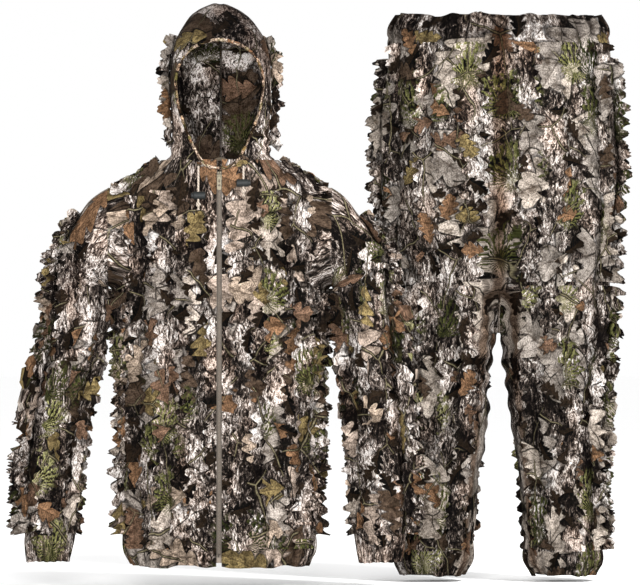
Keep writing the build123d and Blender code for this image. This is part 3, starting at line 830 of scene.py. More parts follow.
def leaf_group():
    """Scattered oak leaves: a mask, its drop shadow, its veins, and two random values per leaf."""
    g, i, out = new_group(
        "oak_leaves", [("Place", "Vector"), ("Wide", "Float"), ("Lobes", "Float")],
        [("Mask", "Float"), ("Shadow", "Float"), ("Vein", "Float"), ("Pick", "Float"), ("Half", "Float")],
    )
    cells = g.node("ShaderNodeTexVoronoi", {"Vector": i["Place"], "Scale": 1.0, "Randomness": 0.85},
                   voronoi_dimensions="2D", feature="F1")
    away = g.vector("SUBTRACT", i["Place"], cells.outputs["Position"])
    colour = g.node("ShaderNodeSeparateColor", [cells.outputs["Color"]]).outputs
    turned = g.node("ShaderNodeVectorRotate", {"Vector": away, "Angle": g.times(colour[0], 6.283)},
                    rotation_type="Z_AXIS").outputs[0]
    x, y, _ = g.parts(turned)
    x = g.plus(x, g.times(g.times(y, y), 0.35))
    t = g.math("DIVIDE", y, 0.50)
    round_off = g.math("POWER", g.math("MAXIMUM", g.minus(1.0, g.times(t, t)), 0.0), 0.7)
    phase = g.plus(g.times(t, i["Lobes"]), g.times(g.size(x), -9.0))
    lobe = g.plus(g.times(g.size(g.math("SINE", phase)), 0.58), 0.42)
    taper = g.plus(0.85, g.times(t, 0.3))
    width = g.times(g.times(i["Wide"], taper), g.times(round_off, lobe))
    inside = g.minus(width, g.size(x))
    rib = g.minus(1.0, g.step(g.size(x), 0.004, 0.014))
    slant = g.plus(g.times(y, 11.0), g.times(g.size(x), -9.0))
    side = g.size(g.minus(g.math("FRACT", slant), 0.5))
    side = g.minus(1.0, g.step(side, 0.03, 0.10))
    links = g.tree.links
    links.new(g.step(inside, 0.0, 0.012), out.inputs["Mask"])
    links.new(g.step(inside, -0.085, -0.01), out.inputs["Shadow"])
    links.new(g.math("MAXIMUM", rib, g.times(side, 0.6)), out.inputs["Vein"])
    links.new(colour[1], out.inputs["Pick"])
    links.new(g.step(x, -0.03, 0.03), out.inputs["Half"])
    return g.tree


def needle_group():
    """Fans of pine needles in some of the cells."""
    g, i, out = new_group("pine_needles", [("Place", "Vector"), ("Share", "Float")],
                          [("Mask", "Float"), ("Pick", "Float")])
    cells = g.node("ShaderNodeTexVoronoi", {"Vector": i["Place"], "Scale": 1.0, "Randomness": 0.9},
                   voronoi_dimensions="2D", feature="F1")
    x, y, _ = g.parts(g.vector("SUBTRACT", i["Place"], cells.outputs["Position"]))
    far = g.math("SQRT", g.plus(g.times(x, x), g.times(y, y)))
    turn = g.math("ARCTAN2", x, g.plus(y, 0.22))
    bend = g.noise(i["Place"], 3.0, 1.0)
    comb = g.plus(g.times(turn, 13.0), g.times(bend, 6.0))
    mess = g.noise(g.vector("MULTIPLY", i["Place"], (9.0, 3.0, 1.0)), 2.6, 2.0, 0.6)
    blade = g.size(g.math("SINE", g.plus(comb, g.times(mess, 7.0))))
    blade = g.step(blade, 0.55, 0.85)
    zone = g.minus(1.0, g.step(g.plus(far, g.times(mess, 0.22)), 0.42, 0.56))
    pick = g.node("ShaderNodeSeparateColor", [cells.outputs["Color"]]).outputs
    there = g.math("LESS_THAN", pick[0], i["Share"])
    g.tree.links.new(g.times(g.times(blade, zone), there), out.inputs["Mask"])
    g.tree.links.new(g.plus(g.times(mess, 0.7), g.times(pick[1], 0.35)),
                     out.inputs["Pick"])
    return g.tree


def twig_group():
    """Thin forked lines: dark ones with one light edge."""
    g, i, out = new_group("twigs", [("Place", "Vector"), ("Thick", "Float")],
                          [("Dark", "Float"), ("Light", "Float")])
    warp = g.node("ShaderNodeTexNoise", {"Vector": i["Place"], "Scale": 1.7, "Detail": 2.0}).outputs["Color"]
    moved = g.vector("ADD", i["Place"], g.vector("MULTIPLY", warp, (0.35, 0.25, 0.0)))
    edge = g.node("ShaderNodeTexVoronoi", {"Vector": moved, "Scale": 1.0, "Randomness": 1.0},
                  voronoi_dimensions="2D", feature="DISTANCE_TO_EDGE").outputs["Distance"]
    cut_off = g.step(g.noise(i["Place"], 1.3, 1.0), 0.40, 0.52)
    thick = g.times(i["Thick"], g.plus(0.4, g.noise(i["Place"], 0.9, 1.0)))
    near = g.math("DIVIDE", edge, thick)
    dark = g.times(g.minus(1.0, g.step(near, 0.8, 1.15)), cut_off)
    light = g.times(g.minus(1.0, g.step(near, 0.15, 0.5)), cut_off)
    g.tree.links.new(dark, out.inputs["Dark"])
    g.tree.links.new(light, out.inputs["Light"])
    return g.tree


def material(name, colour=None, rough=0.8, **uniform):
    """A material and its graph, with the numbers that are the same all over set on the shader."""
    made = bpy.data.materials.new(name)
    made.use_nodes = True
    g = Graph(made.node_tree)
    shader = made.node_tree.nodes["Principled BSDF"]
    shader.inputs["Roughness"].default_value = rough
    for key, value in uniform.items():
        shader.inputs[key.replace("_", " ")].default_value = value
    if colour is not None:
        made.node_tree.links.new(colour(g) if callable(colour) else colour, shader.inputs["Base Color"])
    return made, g, shader


def bump(g, shader, height, distance, strength=1.0):
    made = g.node("ShaderNodeBump", {"Height": height, "Distance": distance, "Strength": strength})
    g.tree.links.new(made.outputs["Normal"], shader.inputs["Normal"])


def weave(g, place):
    x, y, _ = g.parts(g.scaled(place, 1800, 1800))
    return g.times(g.math("SINE", x), g.math("SINE", y))


GROUPS = {"leaves": leaf_group(), "needles": needle_group(), "twigs": twig_group()}


def use(g, group, *values):
    """Adds one of the groups to a graph, and gives its outputs."""
    made = g.node("ShaderNodeGroup", node_tree=GROUPS[group])
    for socket, value in zip(made.inputs, values):
        if isinstance(value, bpy.types.NodeSocket):
            g.tree.links.new(value, socket)
        else:
            socket.default_value = value
    return made.outputs


# tones of the print: position along a ramp, linear colour
BARK = [(0.40, (0.004, 0.003, 0.003)), (0.47, (0.020, 0.016, 0.014)), (0.51, (0.11, 0.088, 0.076)),
        (0.55, (0.27, 0.225, 0.20)), (0.60, (0.66, 0.62, 0.60)), (0.68, (0.88, 0.86, 0.85))]


NEEDLES = [(0.30, (0.010, 0.013, 0.005)), (0.48, (0.055, 0.060, 0.020)),
           (0.64, (0.19, 0.19, 0.075)), (0.84, (0.52, 0.50, 0.30))]
DARK_LEAF = [(0.0, (0.004, 0.004, 0.004)), (0.6, (0.022, 0.016, 0.012))]
DARK_TWIG, BOUGH, BOUGH_EDGE = (0.012, 0.009, 0.007), (0.016, 0.012, 0.009), (0.40, 0.36, 0.22)
SPECK_DARK, SPECK_LIGHT = (0.28, 0.27, 0.26), (1.34, 1.32, 1.30)
SEAM_U = 4.0  # where the trousers' middle lies in the print
RUST, CLAY, TAN = (0.32, 0.185, 0.105), (0.25, 0.155, 0.105), (0.56, 0.45, 0.36)
OLIVE, SMOKE = (0.31, 0.24, 0.11), (0.10, 0.07, 0.05)
GREIGE, ASH, PINK = (0.68, 0.60, 0.53), (0.52, 0.47, 0.43), (0.66, 0.54, 0.46)


def leaf_layer(g, place, under, cells, shift, wide, count, colours, share, shade=0.8):
    """Lays printed leaves over the colour so far; share is the part of the cells that hold one."""
    spot = g.scaled(place, cells, cells, 1.0, shift)
    mask, shadow, vein, pick, half = use(g, "leaves", spot, wide, count)[:5]
    there = g.math("LESS_THAN", pick, share)
    cast = g.times(g.times(shadow, there), shade)
    under = g.mix(cast, under, (0.006, 0.005, 0.004))
    tone = g.ramp(g.math("DIVIDE", pick, share), colours, "CONSTANT")
    mottle = g.noise(spot, 8.0, 5.0, 0.75)
    tone = g.mix(g.step(mottle, 0.34, 0.62), g.shaded(tone, (0.20, 0.185, 0.17)), tone)
    tone = g.mix(g.times(half, 0.35), tone, (0.03, 0.02, 0.012))
    tone = g.mix(g.times(vein, 0.55), tone, (0.035, 0.020, 0.012))
    return g.mix(g.times(mask, there), under, tone)


def middle_seam(g, place):
    """A darker band that runs down the middle of the seat."""
    across = g.size(g.minus(g.parts(place)[0], SEAM_U))
    ragged = g.plus(across, g.times(g.noise(g.scaled(place, 60, 25), 1.0, 3.0), 0.016))
    return g.minus(1.0, g.step(ragged, 0.012, 0.030))


def camouflage(name, leaves, pale, greens, tint, twig_size, banded=False):
    """Printed cloth: bark ground, twigs, leaves in three sizes, pine needles.

    leaves and pale are (cells per metre, share of the cells with a leaf, colour steps), greens is
    (cells per metre, share of the cells with needles), and tint multiplies the whole print.
    """
    made, g, shader = material(name, rough=0.95, Specular_IOR_Level=0.02)
    place = g.node("ShaderNodeUVMap", uv_map="UVMap").outputs[0]
    grain = g.noise(g.scaled(place, 190, 80), 1.0, 6.0, 0.78, 0.9)
    patch = g.noise(g.scaled(place, 17, 10, 1, (3, 1, 0)), 1.0, 2.0, 0.5)
    level = g.plus(grain, g.times(g.minus(patch, 0.5), 0.62))
    colour = g.ramp(level, BARK)
    warm = g.noise(g.scaled(place, 13, 7, 1, (9, 4, 0)), 1.0, 2.0)
    colour = g.mix(g.times(g.step(warm, 0.46, 0.68), 0.35), colour,
                   g.shaded(colour, (0.95, 0.62, 0.40)))
    colour = leaf_layer(g, place, colour, pale[0], (5.1, 2.7, 0), 0.34, 7.5, pale[2], pale[1])
    fine = use(g, "twigs", g.scaled(place, twig_size * 1.7, twig_size * 1.1, 1, (2, 8, 0)), 0.022)
    colour = g.mix(g.times(fine[0], 0.9), colour, DARK_TWIG)
    colour = leaf_layer(g, place, colour, 19.0, (1.3, 6.2, 0), 0.30, 6.5, DARK_LEAF, 0.34, 0.2)
    needles = use(g, "needles", g.scaled(place, greens[0], greens[0], 1, (4, 4, 0)), greens[1])
    colour = g.mix(needles[0], colour, g.ramp(needles[1], NEEDLES))
    colour = leaf_layer(g, place, colour, leaves[0], (8.3, 0.4, 0), 0.31, 6.8, leaves[2], leaves[1])
    bough = use(g, "twigs", g.scaled(place, twig_size * 0.8, twig_size * 0.55, 1, (6, 3, 0)), 0.021)
    colour = g.mix(g.times(bough[0], 0.95), colour, BOUGH)
    colour = g.mix(g.times(bough[1], 0.4), colour, BOUGH_EDGE)
    speck = g.step(g.noise(g.scaled(place, 420, 300), 1.0, 5.0, 0.8), 0.36, 0.62)
    colour = g.shaded(colour, g.mix(speck, SPECK_DARK, SPECK_LIGHT))
    if banded:
        seam = g.times(middle_seam(g, place), 0.85)
        colour = g.mix(seam, colour, g.shaded(colour, (0.30, 0.21, 0.15)))
    colour = g.shaded(colour, tint)
    # painted shade: the print is darkened by the fold_shade value stored on the mesh
    painted_shade = g.node("ShaderNodeAttribute", attribute_name="fold_shade").outputs["Fac"]
    colour = g.mix(g.times(painted_shade, 0.85), colour, g.shaded(colour, (0.16, 0.15, 0.15)))
    g.tree.links.new(colour, shader.inputs["Base Color"])
    crush = g.noise(g.scaled(place, 60, 60), 1.0, 3.0, 0.6)
    height = g.plus(g.times(weave(g, place), 0.05), crush)
    bump(g, shader, height, 0.0026, 1.0)
    return made


def cloth_materials():
    """The print as it comes on the jacket, the trousers and the hood."""
    jacket = camouflage(
        "jacket_camouflage",
        (10.0, 0.66, [(0.0, RUST), (0.26, OLIVE), (0.48, CLAY), (0.70, TAN), (0.84, SMOKE)]),
        (6.5, 0.55, [(0.0, ASH), (0.35, PINK), (0.6, GREIGE), (0.85, SMOKE)]),
        (9.0, 0.36), (0.53, 0.52, 0.51), 11.0,
    )
    trouser = camouflage(
        "trouser_camouflage",
        (16.0, 0.22, [(0.0, RUST), (0.40, CLAY), (0.7, OLIVE), (0.85, SMOKE)]),
        (5.2, 1.0, [(0.0, GREIGE), (0.4, ASH), (0.7, GREIGE)]),
        (8.0, 0.38), (0.49, 0.485, 0.475), 12.0, banded=True,
    )
    hood = camouflage(
        "hood_camouflage",
        (10.0, 0.22, [(0.0, CLAY), (0.4, OLIVE), (0.7, SMOKE)]),
        (6.5, 0.40, [(0.0, ASH), (0.35, SMOKE), (0.6, GREIGE), (0.85, SMOKE)]),
        (9.0, 0.20), (0.64, 0.63, 0.62), 13.0,
    )
    return jacket, trouser, hood


# ------------------------------------------------------------------ small materials
def plain_cloth(name, colour, threads=700.0):
    """Plain woven tape or elastic."""
    def spotted(g):
        spots = g.noise(g.object_place(), 260.0, 3.0)
        return g.mix(g.times(spots, 0.6), colour, tuple(c * 0.55 for c in colour))

    made, g, shader = material(name, spotted, 0.85, Sheen_Weight=0.15)
    x, _, z = g.parts(g.scaled(g.object_place(), threads * 2, threads * 2, threads * 2))
    thread = g.times(g.math("SINE", x), g.math("SINE", z))
    bump(g, shader, thread, 0.0005, 0.7)
    return made


def moulded(name, colour, rough, metallic=0.0):
    """Plastic or metal with worn, lighter specks."""
    def worn_colour(g):
        worn = g.noise(g.object_place(), 420.0, 4.0, 0.7)
        return g.mix(g.step(worn, 0.5, 0.8), colour, tuple(min(1, c * 1.5 + 0.004) for c in colour))

    made, g, shader = material(name, worn_colour, rough, Metallic=metallic, Specular_IOR_Level=0.2)
    bump(g, shader, g.noise(g.object_place(), 900.0, 2.0), 0.0002, 0.5)
    return made


def braid(name, colour):
    """Braided cord: slanting strands."""
    def strands(g):
        x, _, z = g.parts(g.scaled(g.object_place(), 1500, 1500, 1100))
        return g.math("SINE", g.plus(x, z))

    def streaked(g):
        return g.mix(g.step(strands(g), -0.2, 0.9), tuple(c * 0.6 for c in colour), colour)

    made, g, shader = material(name, streaked, 0.8, Sheen_Weight=0.2)
    bump(g, shader, strands(g), 0.0006, 0.8)
    return made


JACKET, TROUSER, HOOD_CLOTH = cloth_materials()
CASING = camouflage("casing_tape", (60.0, 0.5, [(0.0, CLAY), (0.4, OLIVE), (0.6, TAN)]),
                    (40.0, 0.8, [(0.0, PINK), (0.4, ASH)]), (50.0, 0.2), (0.70, 0.60, 0.50), 40.0)
LOOP = plain_cloth("hanger_tape", (0.12, 0.09, 0.06))
ZIP_TAPE = plain_cloth("zip_tape", (0.080, 0.066, 0.052), 900.0)
ELASTIC = plain_cloth("elastic", (0.04, 0.035, 0.03), 450.0)
CORD = braid("cord_braid", (0.33, 0.27, 0.215))
LOCK = moulded("lock_plastic", (0.004, 0.005, 0.005), 0.55)
TEETH = moulded("zip_teeth", (0.115, 0.094, 0.076), 0.7)
ZIP_METAL = moulded("zip_metal", (0.125, 0.108, 0.075), 0.6, 0.15)
STEEL = moulded("spring_steel", (0.55, 0.55, 0.55), 0.3, 1.0)
EYELET = moulded("eyelet_metal", (0.06, 0.05, 0.035), 0.4, 0.8)


def paint(obj, made):
    """Gives a piece its material."""
    obj.data.materials.clear()
    obj.data.materials.append(made)
    return obj


# ------------------------------------------------------------------ jacket
def panel_of(skin, name, planes):
    """A copy of the skin without what lies beyond each plane."""
    piece = skin.copy()
    piece.data = skin.data.copy()
    piece.name = name
    bpy.context.scene.collection.objects.link(piece)
    for point, normal in planes:
        cut(piece, point, normal)
    return piece


def declare(piece):
    """Works out a piece's length along Z from its own points; nothing is done with the result."""
    long_side = float(np.ptp(coordinates(piece)[:, 2]))


def build_jacket():
    """Front and back panels cut from one skin, open along the zip, each with its strips."""
    skin = jacket_skin()
    jacket_uv(skin)
    seam_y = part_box("back_panel")[0][1]
    ends = [((0, 0, HEM_Z), (0, 0, -1)), ((0, 0, 0.017), (0, 0, 1)),
            ((SHOULDER_X, 0, 0), (1, 0, 0)), ((-SHOULDER_X, 0, 0), (-1, 0, 0))]
    whole = panel_of(skin, "jacket_whole", ends)
    tree = tree_of(whole)
    edge = 0.0048
    front = ((0, seam_y, 0), (0, 1, 0))
    right = panel_of(whole, "jacket_front_right", [front, ((-edge, 0, 0), (1, 0, 0))])
    left = panel_of(whole, "jacket_front_left", [front, ((edge, 0, 0), (-1, 0, 0))])
    back = panel_of(whole, "jacket_back", [((0, seam_y, 0), (0, -1, 0))])
    for panel in (right, left, back):
        ruffle(panel, HEM_Z, RUFFLE_REACH, 0.0045, 61)
    drop(skin, whole)
    low, high = HEM_Z + 0.030, -0.050

    def centre(z):
        return np.array([0, 0.0, z])

    strips = {"front_right": [], "front_left": [], "back": []}
    for side, s in SIDE.items():
        for x, top in ((0.040, -0.075), (0.096, -0.040), (0.150, -0.050)):
            strips[f"front_{side}"].append(leaf_strip(
                tree, top, low, (lambda z, x=x: np.array([s * x, SHOULDER_Y, z])),
                fixed(0, -1, 0), fixed(1, 0, 0), RNG, stand=0.55, low=0.012, high=0.022))
        strips[f"front_{side}"].append(leaf_strip(
            tree, -0.225, low + 0.025, *around(centre, s * math.radians(78)), RNG, stand=1.4,
            low=0.012, high=0.025))
        for angle, stand in ((104, 0.8), (128, 0.5)):
            strips["back"].append(leaf_strip(
                tree, -0.225, low + 0.025, *around(centre, s * math.radians(angle)), RNG, stand=stand))
        for y, top in ((-0.045, 0.110), (0.0, 0.105), (0.050, 0.112)):
            strips[f"front_{side}" if y < 0.01 else "back"].append(leaf_strip(
                tree, s * top, s * (SHOULDER_X - 0.006),
                (lambda x, y=y: np.array([x, SHOULDER_Y + y, SHOULDER_Z])),
                fixed(0, 0, 1), fixed(0, 1, 0), RNG, stand=0.5, low=0.007, high=0.015))
    for x in (-0.150, -0.090, -0.030, 0.030, 0.090, 0.150):
        strips["back"].append(leaf_strip(
            tree, high, low, (lambda z, x=x: np.array([x, SHOULDER_Y, z])),
            fixed(0, 1, 0), fixed(1, 0, 0), RNG, stand=0.55, low=0.012, high=0.022))
    for panel, key, extra in ((right, "front_right", []), (left, "front_left", []),
                              (back, "back", ["collar"])):
        leaves = join_strips(f"jacket_leaves_{key}", strips[key])
        paint(leaves, JACKET)
        paint(panel, JACKET)
        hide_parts(f"leaf_strips_{key}")
        node = "back_panel" if key == "back" else key.replace("front_", "front_panel_")
        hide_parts(node, *extra)
        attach(panel, "jacket")
        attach(leaves, "jacket")
        declare(panel)


def build_sleeve(side):
    """One sleeve with the strips down it and over the shoulder."""
    s = SIDE[side]
    cloth = sleeve(side)
    ruffle(cloth, WRIST_Z, RUFFLE_REACH, 0.0045, 64)
    tree = tree_of(cloth)

    def centre(z):
        return np.array([s * curve(ARM_OUT[side], [z])[0][0], SHOULDER_Y, z])

    strips = []
    low = WRIST_Z + 0.048
    for angle, high, stand, tip in (
        (88, -0.150, 2.2, 0.034), (54, -0.120, 0.8, 0.024), (10, -0.075, 0.55, 0.022),
        (-38, -0.215, 0.7, 0.022), (122, -0.130, 0.8, 0.024), (170, -0.080, 0.5, 0.020),
        (215, -0.215, 0.6, 0.020),
    ):
        strips.append(leaf_strip(tree, high, low, *around(centre, s * math.radians(angle)), RNG,
                                 stand=stand, low=0.5 * tip, high=tip, cast=0.14))
    pivot = np.array([s * (SHOULDER_X + 0.030), 0, SHOULDER_Z - 0.060])
    for y, stand in ((-0.030, 0.6), (0.0, 1.3), (0.034, 0.6)):
        strips.append(leaf_strip(
            tree, 0.02, 0.16, (lambda p, y=y: pivot + [0, SHOULDER_Y + y, 0]),
            (lambda p: np.array([s * math.sin(p / 0.10), 0, math.cos(p / 0.10)])),
            fixed(0, 1, 0), RNG, stand=stand))
    leaves = join_strips(f"sleeve_leaves_{side}", strips)
    paint(leaves, JACKET)
    paint(cloth, JACKET)
    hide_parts(f"upper_sleeve_{side}", f"forearm_sleeve_{side}")
    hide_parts(f"leaf_strips_upper_sleeve_{side}", f"leaf_strips_forearm_{side}")
    for piece in (cloth, leaves):
        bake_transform(piece)
    declare(cloth)


def tube_along(name, line, shape):
    """A tube whose cross-section at each point of line is shape(k): radii across and outwards."""
    line = np.asarray(line, float)
    ahead = np.gradient(line, axis=0)
    ahead /= np.linalg.norm(ahead, axis=1)[:, None]
    out = np.stack([line[:, 0], 0 * line[:, 0] - 0.6 * np.abs(line[:, 1]).mean(), line[:, 2] * 0], 1)
    out -= ahead * np.einsum("ij,ij->i", out, ahead)[:, None]
    out /= np.linalg.norm(out, axis=1)[:, None]
    across = np.cross(ahead, out)
    a = np.linspace(0, 2 * math.pi, 12, endpoint=False)
    rings = []
    for k in range(len(line)):
        wide, tall = shape(k)
        offset = across[k] * (wide * np.cos(a))[:, None] + out[k] * (tall * np.sin(a))[:, None]
        rings.append(line[k] + offset)
    run = np.concatenate([[0], np.cumsum(np.linalg.norm(np.diff(line, axis=0), axis=1))])
    uvs = np.stack([np.tile(np.abs(a - math.pi) * shape(0)[0], len(line)), run.repeat(len(a))], 1)
    return finish_mesh(name, np.array(rings).reshape(-1, 3), capped_faces(len(line), len(a)), uvs)


def round_section(radius):
    return lambda k: (radius, radius)


def build_hood():
    """The hood, its strips behind the face opening, and the casing round that opening."""
    cloth = hood_skin()
    tree = tree_of(cloth)

    def centre(z):
        return np.array([0, 0.012, z])

    strips = []
    for s in (-1, 1):
        for angle, high, stand in ((86, 0.240, 1.7), (118, 0.245, 0.9), (146, 0.245, 0.5)):
            strips.append(leaf_strip(tree, high, 0.045, *around(centre, s * math.radians(angle)), RNG,
                                     stand=stand, low=0.009, high=0.024, base=0.008))
    strips.append(leaf_strip(tree, 0.245, 0.050, *around(centre, math.pi), RNG, stand=0.45))
    middle_of_head = np.array([0, 0.010, 0.150])
    for x, stand in ((-0.045, 0.7), (0.045, 0.7)):
        strips.append(leaf_strip(
            tree, 0.050, 0.130, (lambda p, x=x: middle_of_head + [x, 0, 0]),
            (lambda p: np.array([0, math.sin(p / 0.13), math.cos(p / 0.13)])),
            fixed(1, 0, 0), RNG, stand=stand, low=0.006, high=0.012, base=0.007))
    leaves = join_strips("hood_leaves", strips)
    rim = rim_line(320) + [0, -0.0012, 0]
    casing = tube_along("hood_edge", rim, lambda k: (0.0030 + 0.0004 * math.sin(k * 1.3), 0.0024))
    paint(leaves, JACKET)
    paint(cloth, HOOD_CLOTH)
    paint(casing, CASING)
    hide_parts("hood_panel_right", "hood_panel_left")
    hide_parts("leaf_strips_hood")
    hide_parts("hood_edge_casing", "hood_drawcord")
    for piece in (cloth, leaves, casing):
        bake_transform(piece)
    declare(cloth)


# ------------------------------------------------------------------ zip
def build_zip():
    """The two rows of teeth, half a pitch apart, each tooth a block with a raised middle."""
    tilt = math.atan(FRONT_SLOPE)
    down = np.array([0, -math.sin(tilt), -math.cos(tilt)])
    forward = np.array([0, -math.cos(tilt), math.sin(tilt)])
    pitch = 0.0026
    for side, s in SIDE.items():
        low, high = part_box(f"zip_chain_{side}")
        start = np.array([0, high[1] - 0.0018, high[2]])
        count = int((high[2] - low[2]) / pitch)
        verts, faces = [], []
        for k in range(count):
            at = start + down * pitch * (k + (0.5 if s > 0 else 0))
            inner, outer = -0.0007 * s, 0.0031 * s
            for x, top, wide in ((inner, 0.0004, 0.0008), (0.35 * outer, 0.0006, 0.0011),
                                 (outer, 0.0003, 0.0011)):
                foot = top - 0.0016
                for out, along in ((foot, -wide / 1.6), (top, -wide / 2), (top, wide / 2),
                                   (foot, wide / 1.6)):
                    verts.append(at + [x, 0, 0] + forward * out + down * along)
            b = 12 * k
            for j in (0, 4):
                faces += [[b + j + i, b + j + (i + 1) % 4, b + j + 4 + (i + 1) % 4, b + j + 4 + i]
                          for i in range(4)]
            faces += [[b + 3, b + 2, b + 1, b], [b + 8, b + 9, b + 10, b + 11]]
        teeth = finish_mesh(f"zip_teeth_{side}", verts, faces)
        paint(teeth, TEETH)
        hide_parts(f"zip_chain_{side}")
        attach(teeth, "jacket")


# ------------------------------------------------------------------ drawcord ends
CORD_R = 0.0018
CORD_ROUTE = {
    "right": [(-0.038, -0.0795, 0.005), (-0.038, -0.0890, -0.005), (-0.038, -0.0980, -0.062)],
    "left": [(0.044, -0.0785, 0.005), (0.044, -0.0880, -0.005), (0.044, -0.0935, -0.037)],
}


def build_cords():
    """The drawcord's free ends, hanging from the eyelets to their knots."""
    for side, route in CORD_ROUTE.items():
        data = bpy.data.curves.new(f"drawcord_{side}", "CURVE")
        data.dimensions = "3D"
        spline = data.splines.new("NURBS")
        spline.points.add(len(route) - 1)
        for point, place in zip(spline.points, route):
            point.co = (*place, 1)
        spline.order_u, spline.use_endpoint_u, spline.resolution_u = 3, True, 24
        data.bevel_depth, data.bevel_resolution, data.use_fill_caps = CORD_R, 4, True
        cord = bpy.data.objects.new(data.name, data)
        bpy.context.scene.collection.objects.link(cord)
        cord.data.materials.append(CORD)
        knot = knot_piece(side, np.array(route[-1]))
        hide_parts(f"drawcord_{side}")
        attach(cord, "jacket")
        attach(knot, "jacket")


def knot_piece(side, end):
    """An overhand knot with a short frayed tail."""
    t = np.linspace(0, 2 * math.pi, 90)
    ring = 2 + np.cos(3 * t)
    loop = np.stack([ring * np.cos(2 * t), 1.4 * np.sin(3 * t), ring * np.sin(2 * t)], 1) * 0.00105
    line = loop + end + [0, 0, -0.0030]
    knot = tube_along(f"cord_knot_{side}", line, round_section(0.75 * CORD_R))
    tails = []
    for k in range(14):
        a = 2 * math.pi * k / 14
        top = end + np.array([0.0009 * math.cos(a), 0.0009 * math.sin(a), -0.005])
        tip = top + np.array([0.0016 * math.cos(a * 1.7), 0.0016 * math.sin(a), -0.0085])
        drop_line = [top + (tip - top) * w + np.array([0.0004 * math.sin(6 * w + k), 0, 0])
                     for w in np.linspace(0, 1, 6)]
        tails.append(tube_along(f"tail_{side}_{k}", drop_line, round_section(0.0004)))
    verts, faces = merged([knot, *tails])
    drop(knot, *tails)
    piece = finish_mesh(f"cord_knot_{side}", verts, faces)
    paint(piece, CORD)
    if side == "right":
        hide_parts("drawcord_knots")
    return piece


# ------------------------------------------------------------------ trousers
def build_trousers():
    """Seat and leg of each side cut from one skin, each with its strips."""
    skin = trousers_skin()
    trousers_uv(skin)
    for point, normal in (((0, 0, WAIST_Z + 0.002), (0, 0, 1)), ((0, 0, ANKLE_Z), (0, 0, -1))):
        cut(skin, point, normal)
    ruffle(skin, WAIST_Z, RUFFLE_REACH, 0.0065, 62)
    ruffle(skin, ANKLE_Z, RUFFLE_REACH, 0.0045, 63)
    tree = tree_of(skin)
    for side, s in SIDE.items():
        half = ((TROUSER_X, 0, 0), (-s, 0, 0))
        seat = panel_of(skin, f"trouser_seat_{side}", [half, ((0, 0, PANEL_SPLIT), (0, 0, -1))])
        leg = panel_of(skin, f"trouser_leg_{side}", [half, ((0, 0, PANEL_SPLIT), (0, 0, 1))])

        def centre(z):
            z = min(z, -0.058)
            return np.array([TROUSER_X + s * curve([r[:2] for r in LEG], [z])[0][0], TROUSER_Y, 0])

        upper, lower = [], []
        for angle, stand, tip in (
            (80, 1.8, 0.027), (52, 0.7, 0.023), (14, 0.55, 0.023), (-26, 0.55, 0.022),
            (99, 1.1, 0.023), (152, 0.5, 0.021), (190, 0.5, 0.021), (226, 0.5, 0.021),
        ):
            rays = around((lambda z: centre(z) + [0, 0, z]), s * math.radians(angle))
            top = WAIST_Z - (0.078 if stand > 1 else 0.050)
            shape = {"stand": stand, "low": 0.5 * tip, "high": tip}
            upper.append(leaf_strip(tree, top, PANEL_SPLIT + 0.004, *rays, RNG, **shape))
            lower.append(leaf_strip(tree, PANEL_SPLIT - 0.002, ANKLE_Z + 0.048, *rays, RNG, **shape))
        seat_leaves = join_strips(f"seat_leaves_{side}", upper)
        leg_leaves = join_strips(f"leg_leaves_{side}", lower)
        for piece in (seat, leg, seat_leaves, leg_leaves):
            paint(piece, TROUSER)
        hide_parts(f"seat_{side}")
        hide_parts(f"thigh_{side}", f"shin_{side}")
        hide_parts(f"leaf_strips_thigh_{side}", f"leaf_strips_shin_{side}")
        if side == "right":
            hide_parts("leaf_strips_seat")
        for piece in (seat, seat_leaves):
            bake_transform(piece)
        for piece in (leg, leg_leaves):
            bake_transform(piece)
        declare(seat)
        declare(leg)
    drop(skin)


def finish_cad_nodes():
    """Gives the small parts that show as they are their materials."""
    for node, made, slot in (
        ("hanger_loop", LOOP, "casing_tape"), ("hem_elastic", ELASTIC, "elastic"),
        ("waist_elastic", ELASTIC, "elastic"), ("zip_tape_right", ZIP_TAPE, "zip_tape"),
        ("zip_tape_left", ZIP_TAPE, "zip_tape"), ("zip_top_stops", ZIP_METAL, "zip_metal"),
        ("zip_retainer_box", TEETH, "zip_teeth"), ("zip_slider", ZIP_METAL, "zip_metal"),
        ("zip_pull", ZIP_METAL, "zip_metal"), ("drawcord_eyelets", EYELET, "eyelet_metal"),
    ):
        paint(frame["nodes"][node], made)
    for side in SIDE:
        for node, made, slot in (("wrist_elastic", ELASTIC, "elastic"), ("ankle_elastic", ELASTIC, "elastic"),
                                 ("cord_lock_housing", LOCK, "lock_plastic"),
                                 ("cord_lock_plunger", LOCK, "lock_plastic"),
                                 ("cord_lock_spring", STEEL, "spring_steel")):
            paint(frame["nodes"][f"{node}_{side}"], made)


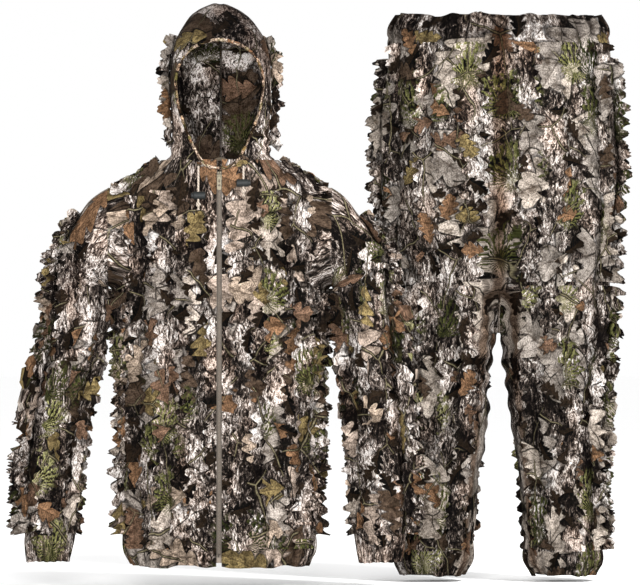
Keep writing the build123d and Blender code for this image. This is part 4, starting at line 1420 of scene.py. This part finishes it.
# ------------------------------------------------------------------ stage, light and camera
VIEW_X, VIEW_Z, VIEW_WIDE, VIEW_FAR = 0.183, -0.225, 1.171, 12.0
SENSOR = 36.0
FLOOR_HALF = 30.0
LIGHTS = (("key", (2.4, -2.6, 2.6), 0.9, 340), ("front", (-0.2, -5.5, 0.3), 1.4, 420))
LIGHT_AIM = (0.18, 0, -0.2)


def area_light(name, place, size, power):
    data = bpy.data.lights.new(name, "AREA")
    data.shape, data.size, data.energy = "DISK", size, power
    light = bpy.data.objects.new(name, data)
    light.location = place
    light.rotation_euler = (Vector(LIGHT_AIM) - Vector(place)).to_track_quat("-Z", "Y").to_euler()
    bpy.context.scene.collection.objects.link(light)


def pale_tone(g):
    return g.mix(g.noise(g.object_place(), 3.0, 3.0), (0.97, 0.97, 0.97), (0.99, 0.99, 0.99))


def build_stage():
    """A pale floor, soft lights and the camera square on to the front."""
    corners = [(x * FLOOR_HALF, y * FLOOR_HALF, FLOOR_Z) for x, y in ((-1, -1), (1, -1), (1, 1), (-1, 1))]
    floor = finish_mesh("floor", corners, [[0, 1, 2, 3]])
    floor.data.materials.append(material("pale_floor", pale_tone, 0.9)[0])
    world = bpy.data.worlds.new("studio")
    bpy.context.scene.world = world
    world.use_nodes = True
    back = world.node_tree.nodes["Background"]
    back.inputs["Color"].default_value = (1, 1, 1, 1)
    back.inputs["Strength"].default_value = 1.0
    for light in LIGHTS:
        area_light(*light)
    camera = bpy.data.objects.new("camera", bpy.data.cameras.new("camera"))
    camera.data.sensor_width = SENSOR
    camera.data.lens = SENSOR * VIEW_FAR / VIEW_WIDE
    camera.data.clip_end = 60.0
    camera.location = (VIEW_X, -VIEW_FAR, VIEW_Z)
    camera.rotation_euler = (math.pi / 2, 0, 0)
    bpy.context.scene.collection.objects.link(camera)
    bpy.context.scene.camera = camera
    bpy.context.scene.view_settings.view_transform = "Standard"


build_jacket()
for each_side in SIDE:
    build_sleeve(each_side)
build_hood()
build_zip()
build_cords()
build_trousers()
finish_cad_nodes()
build_stage()
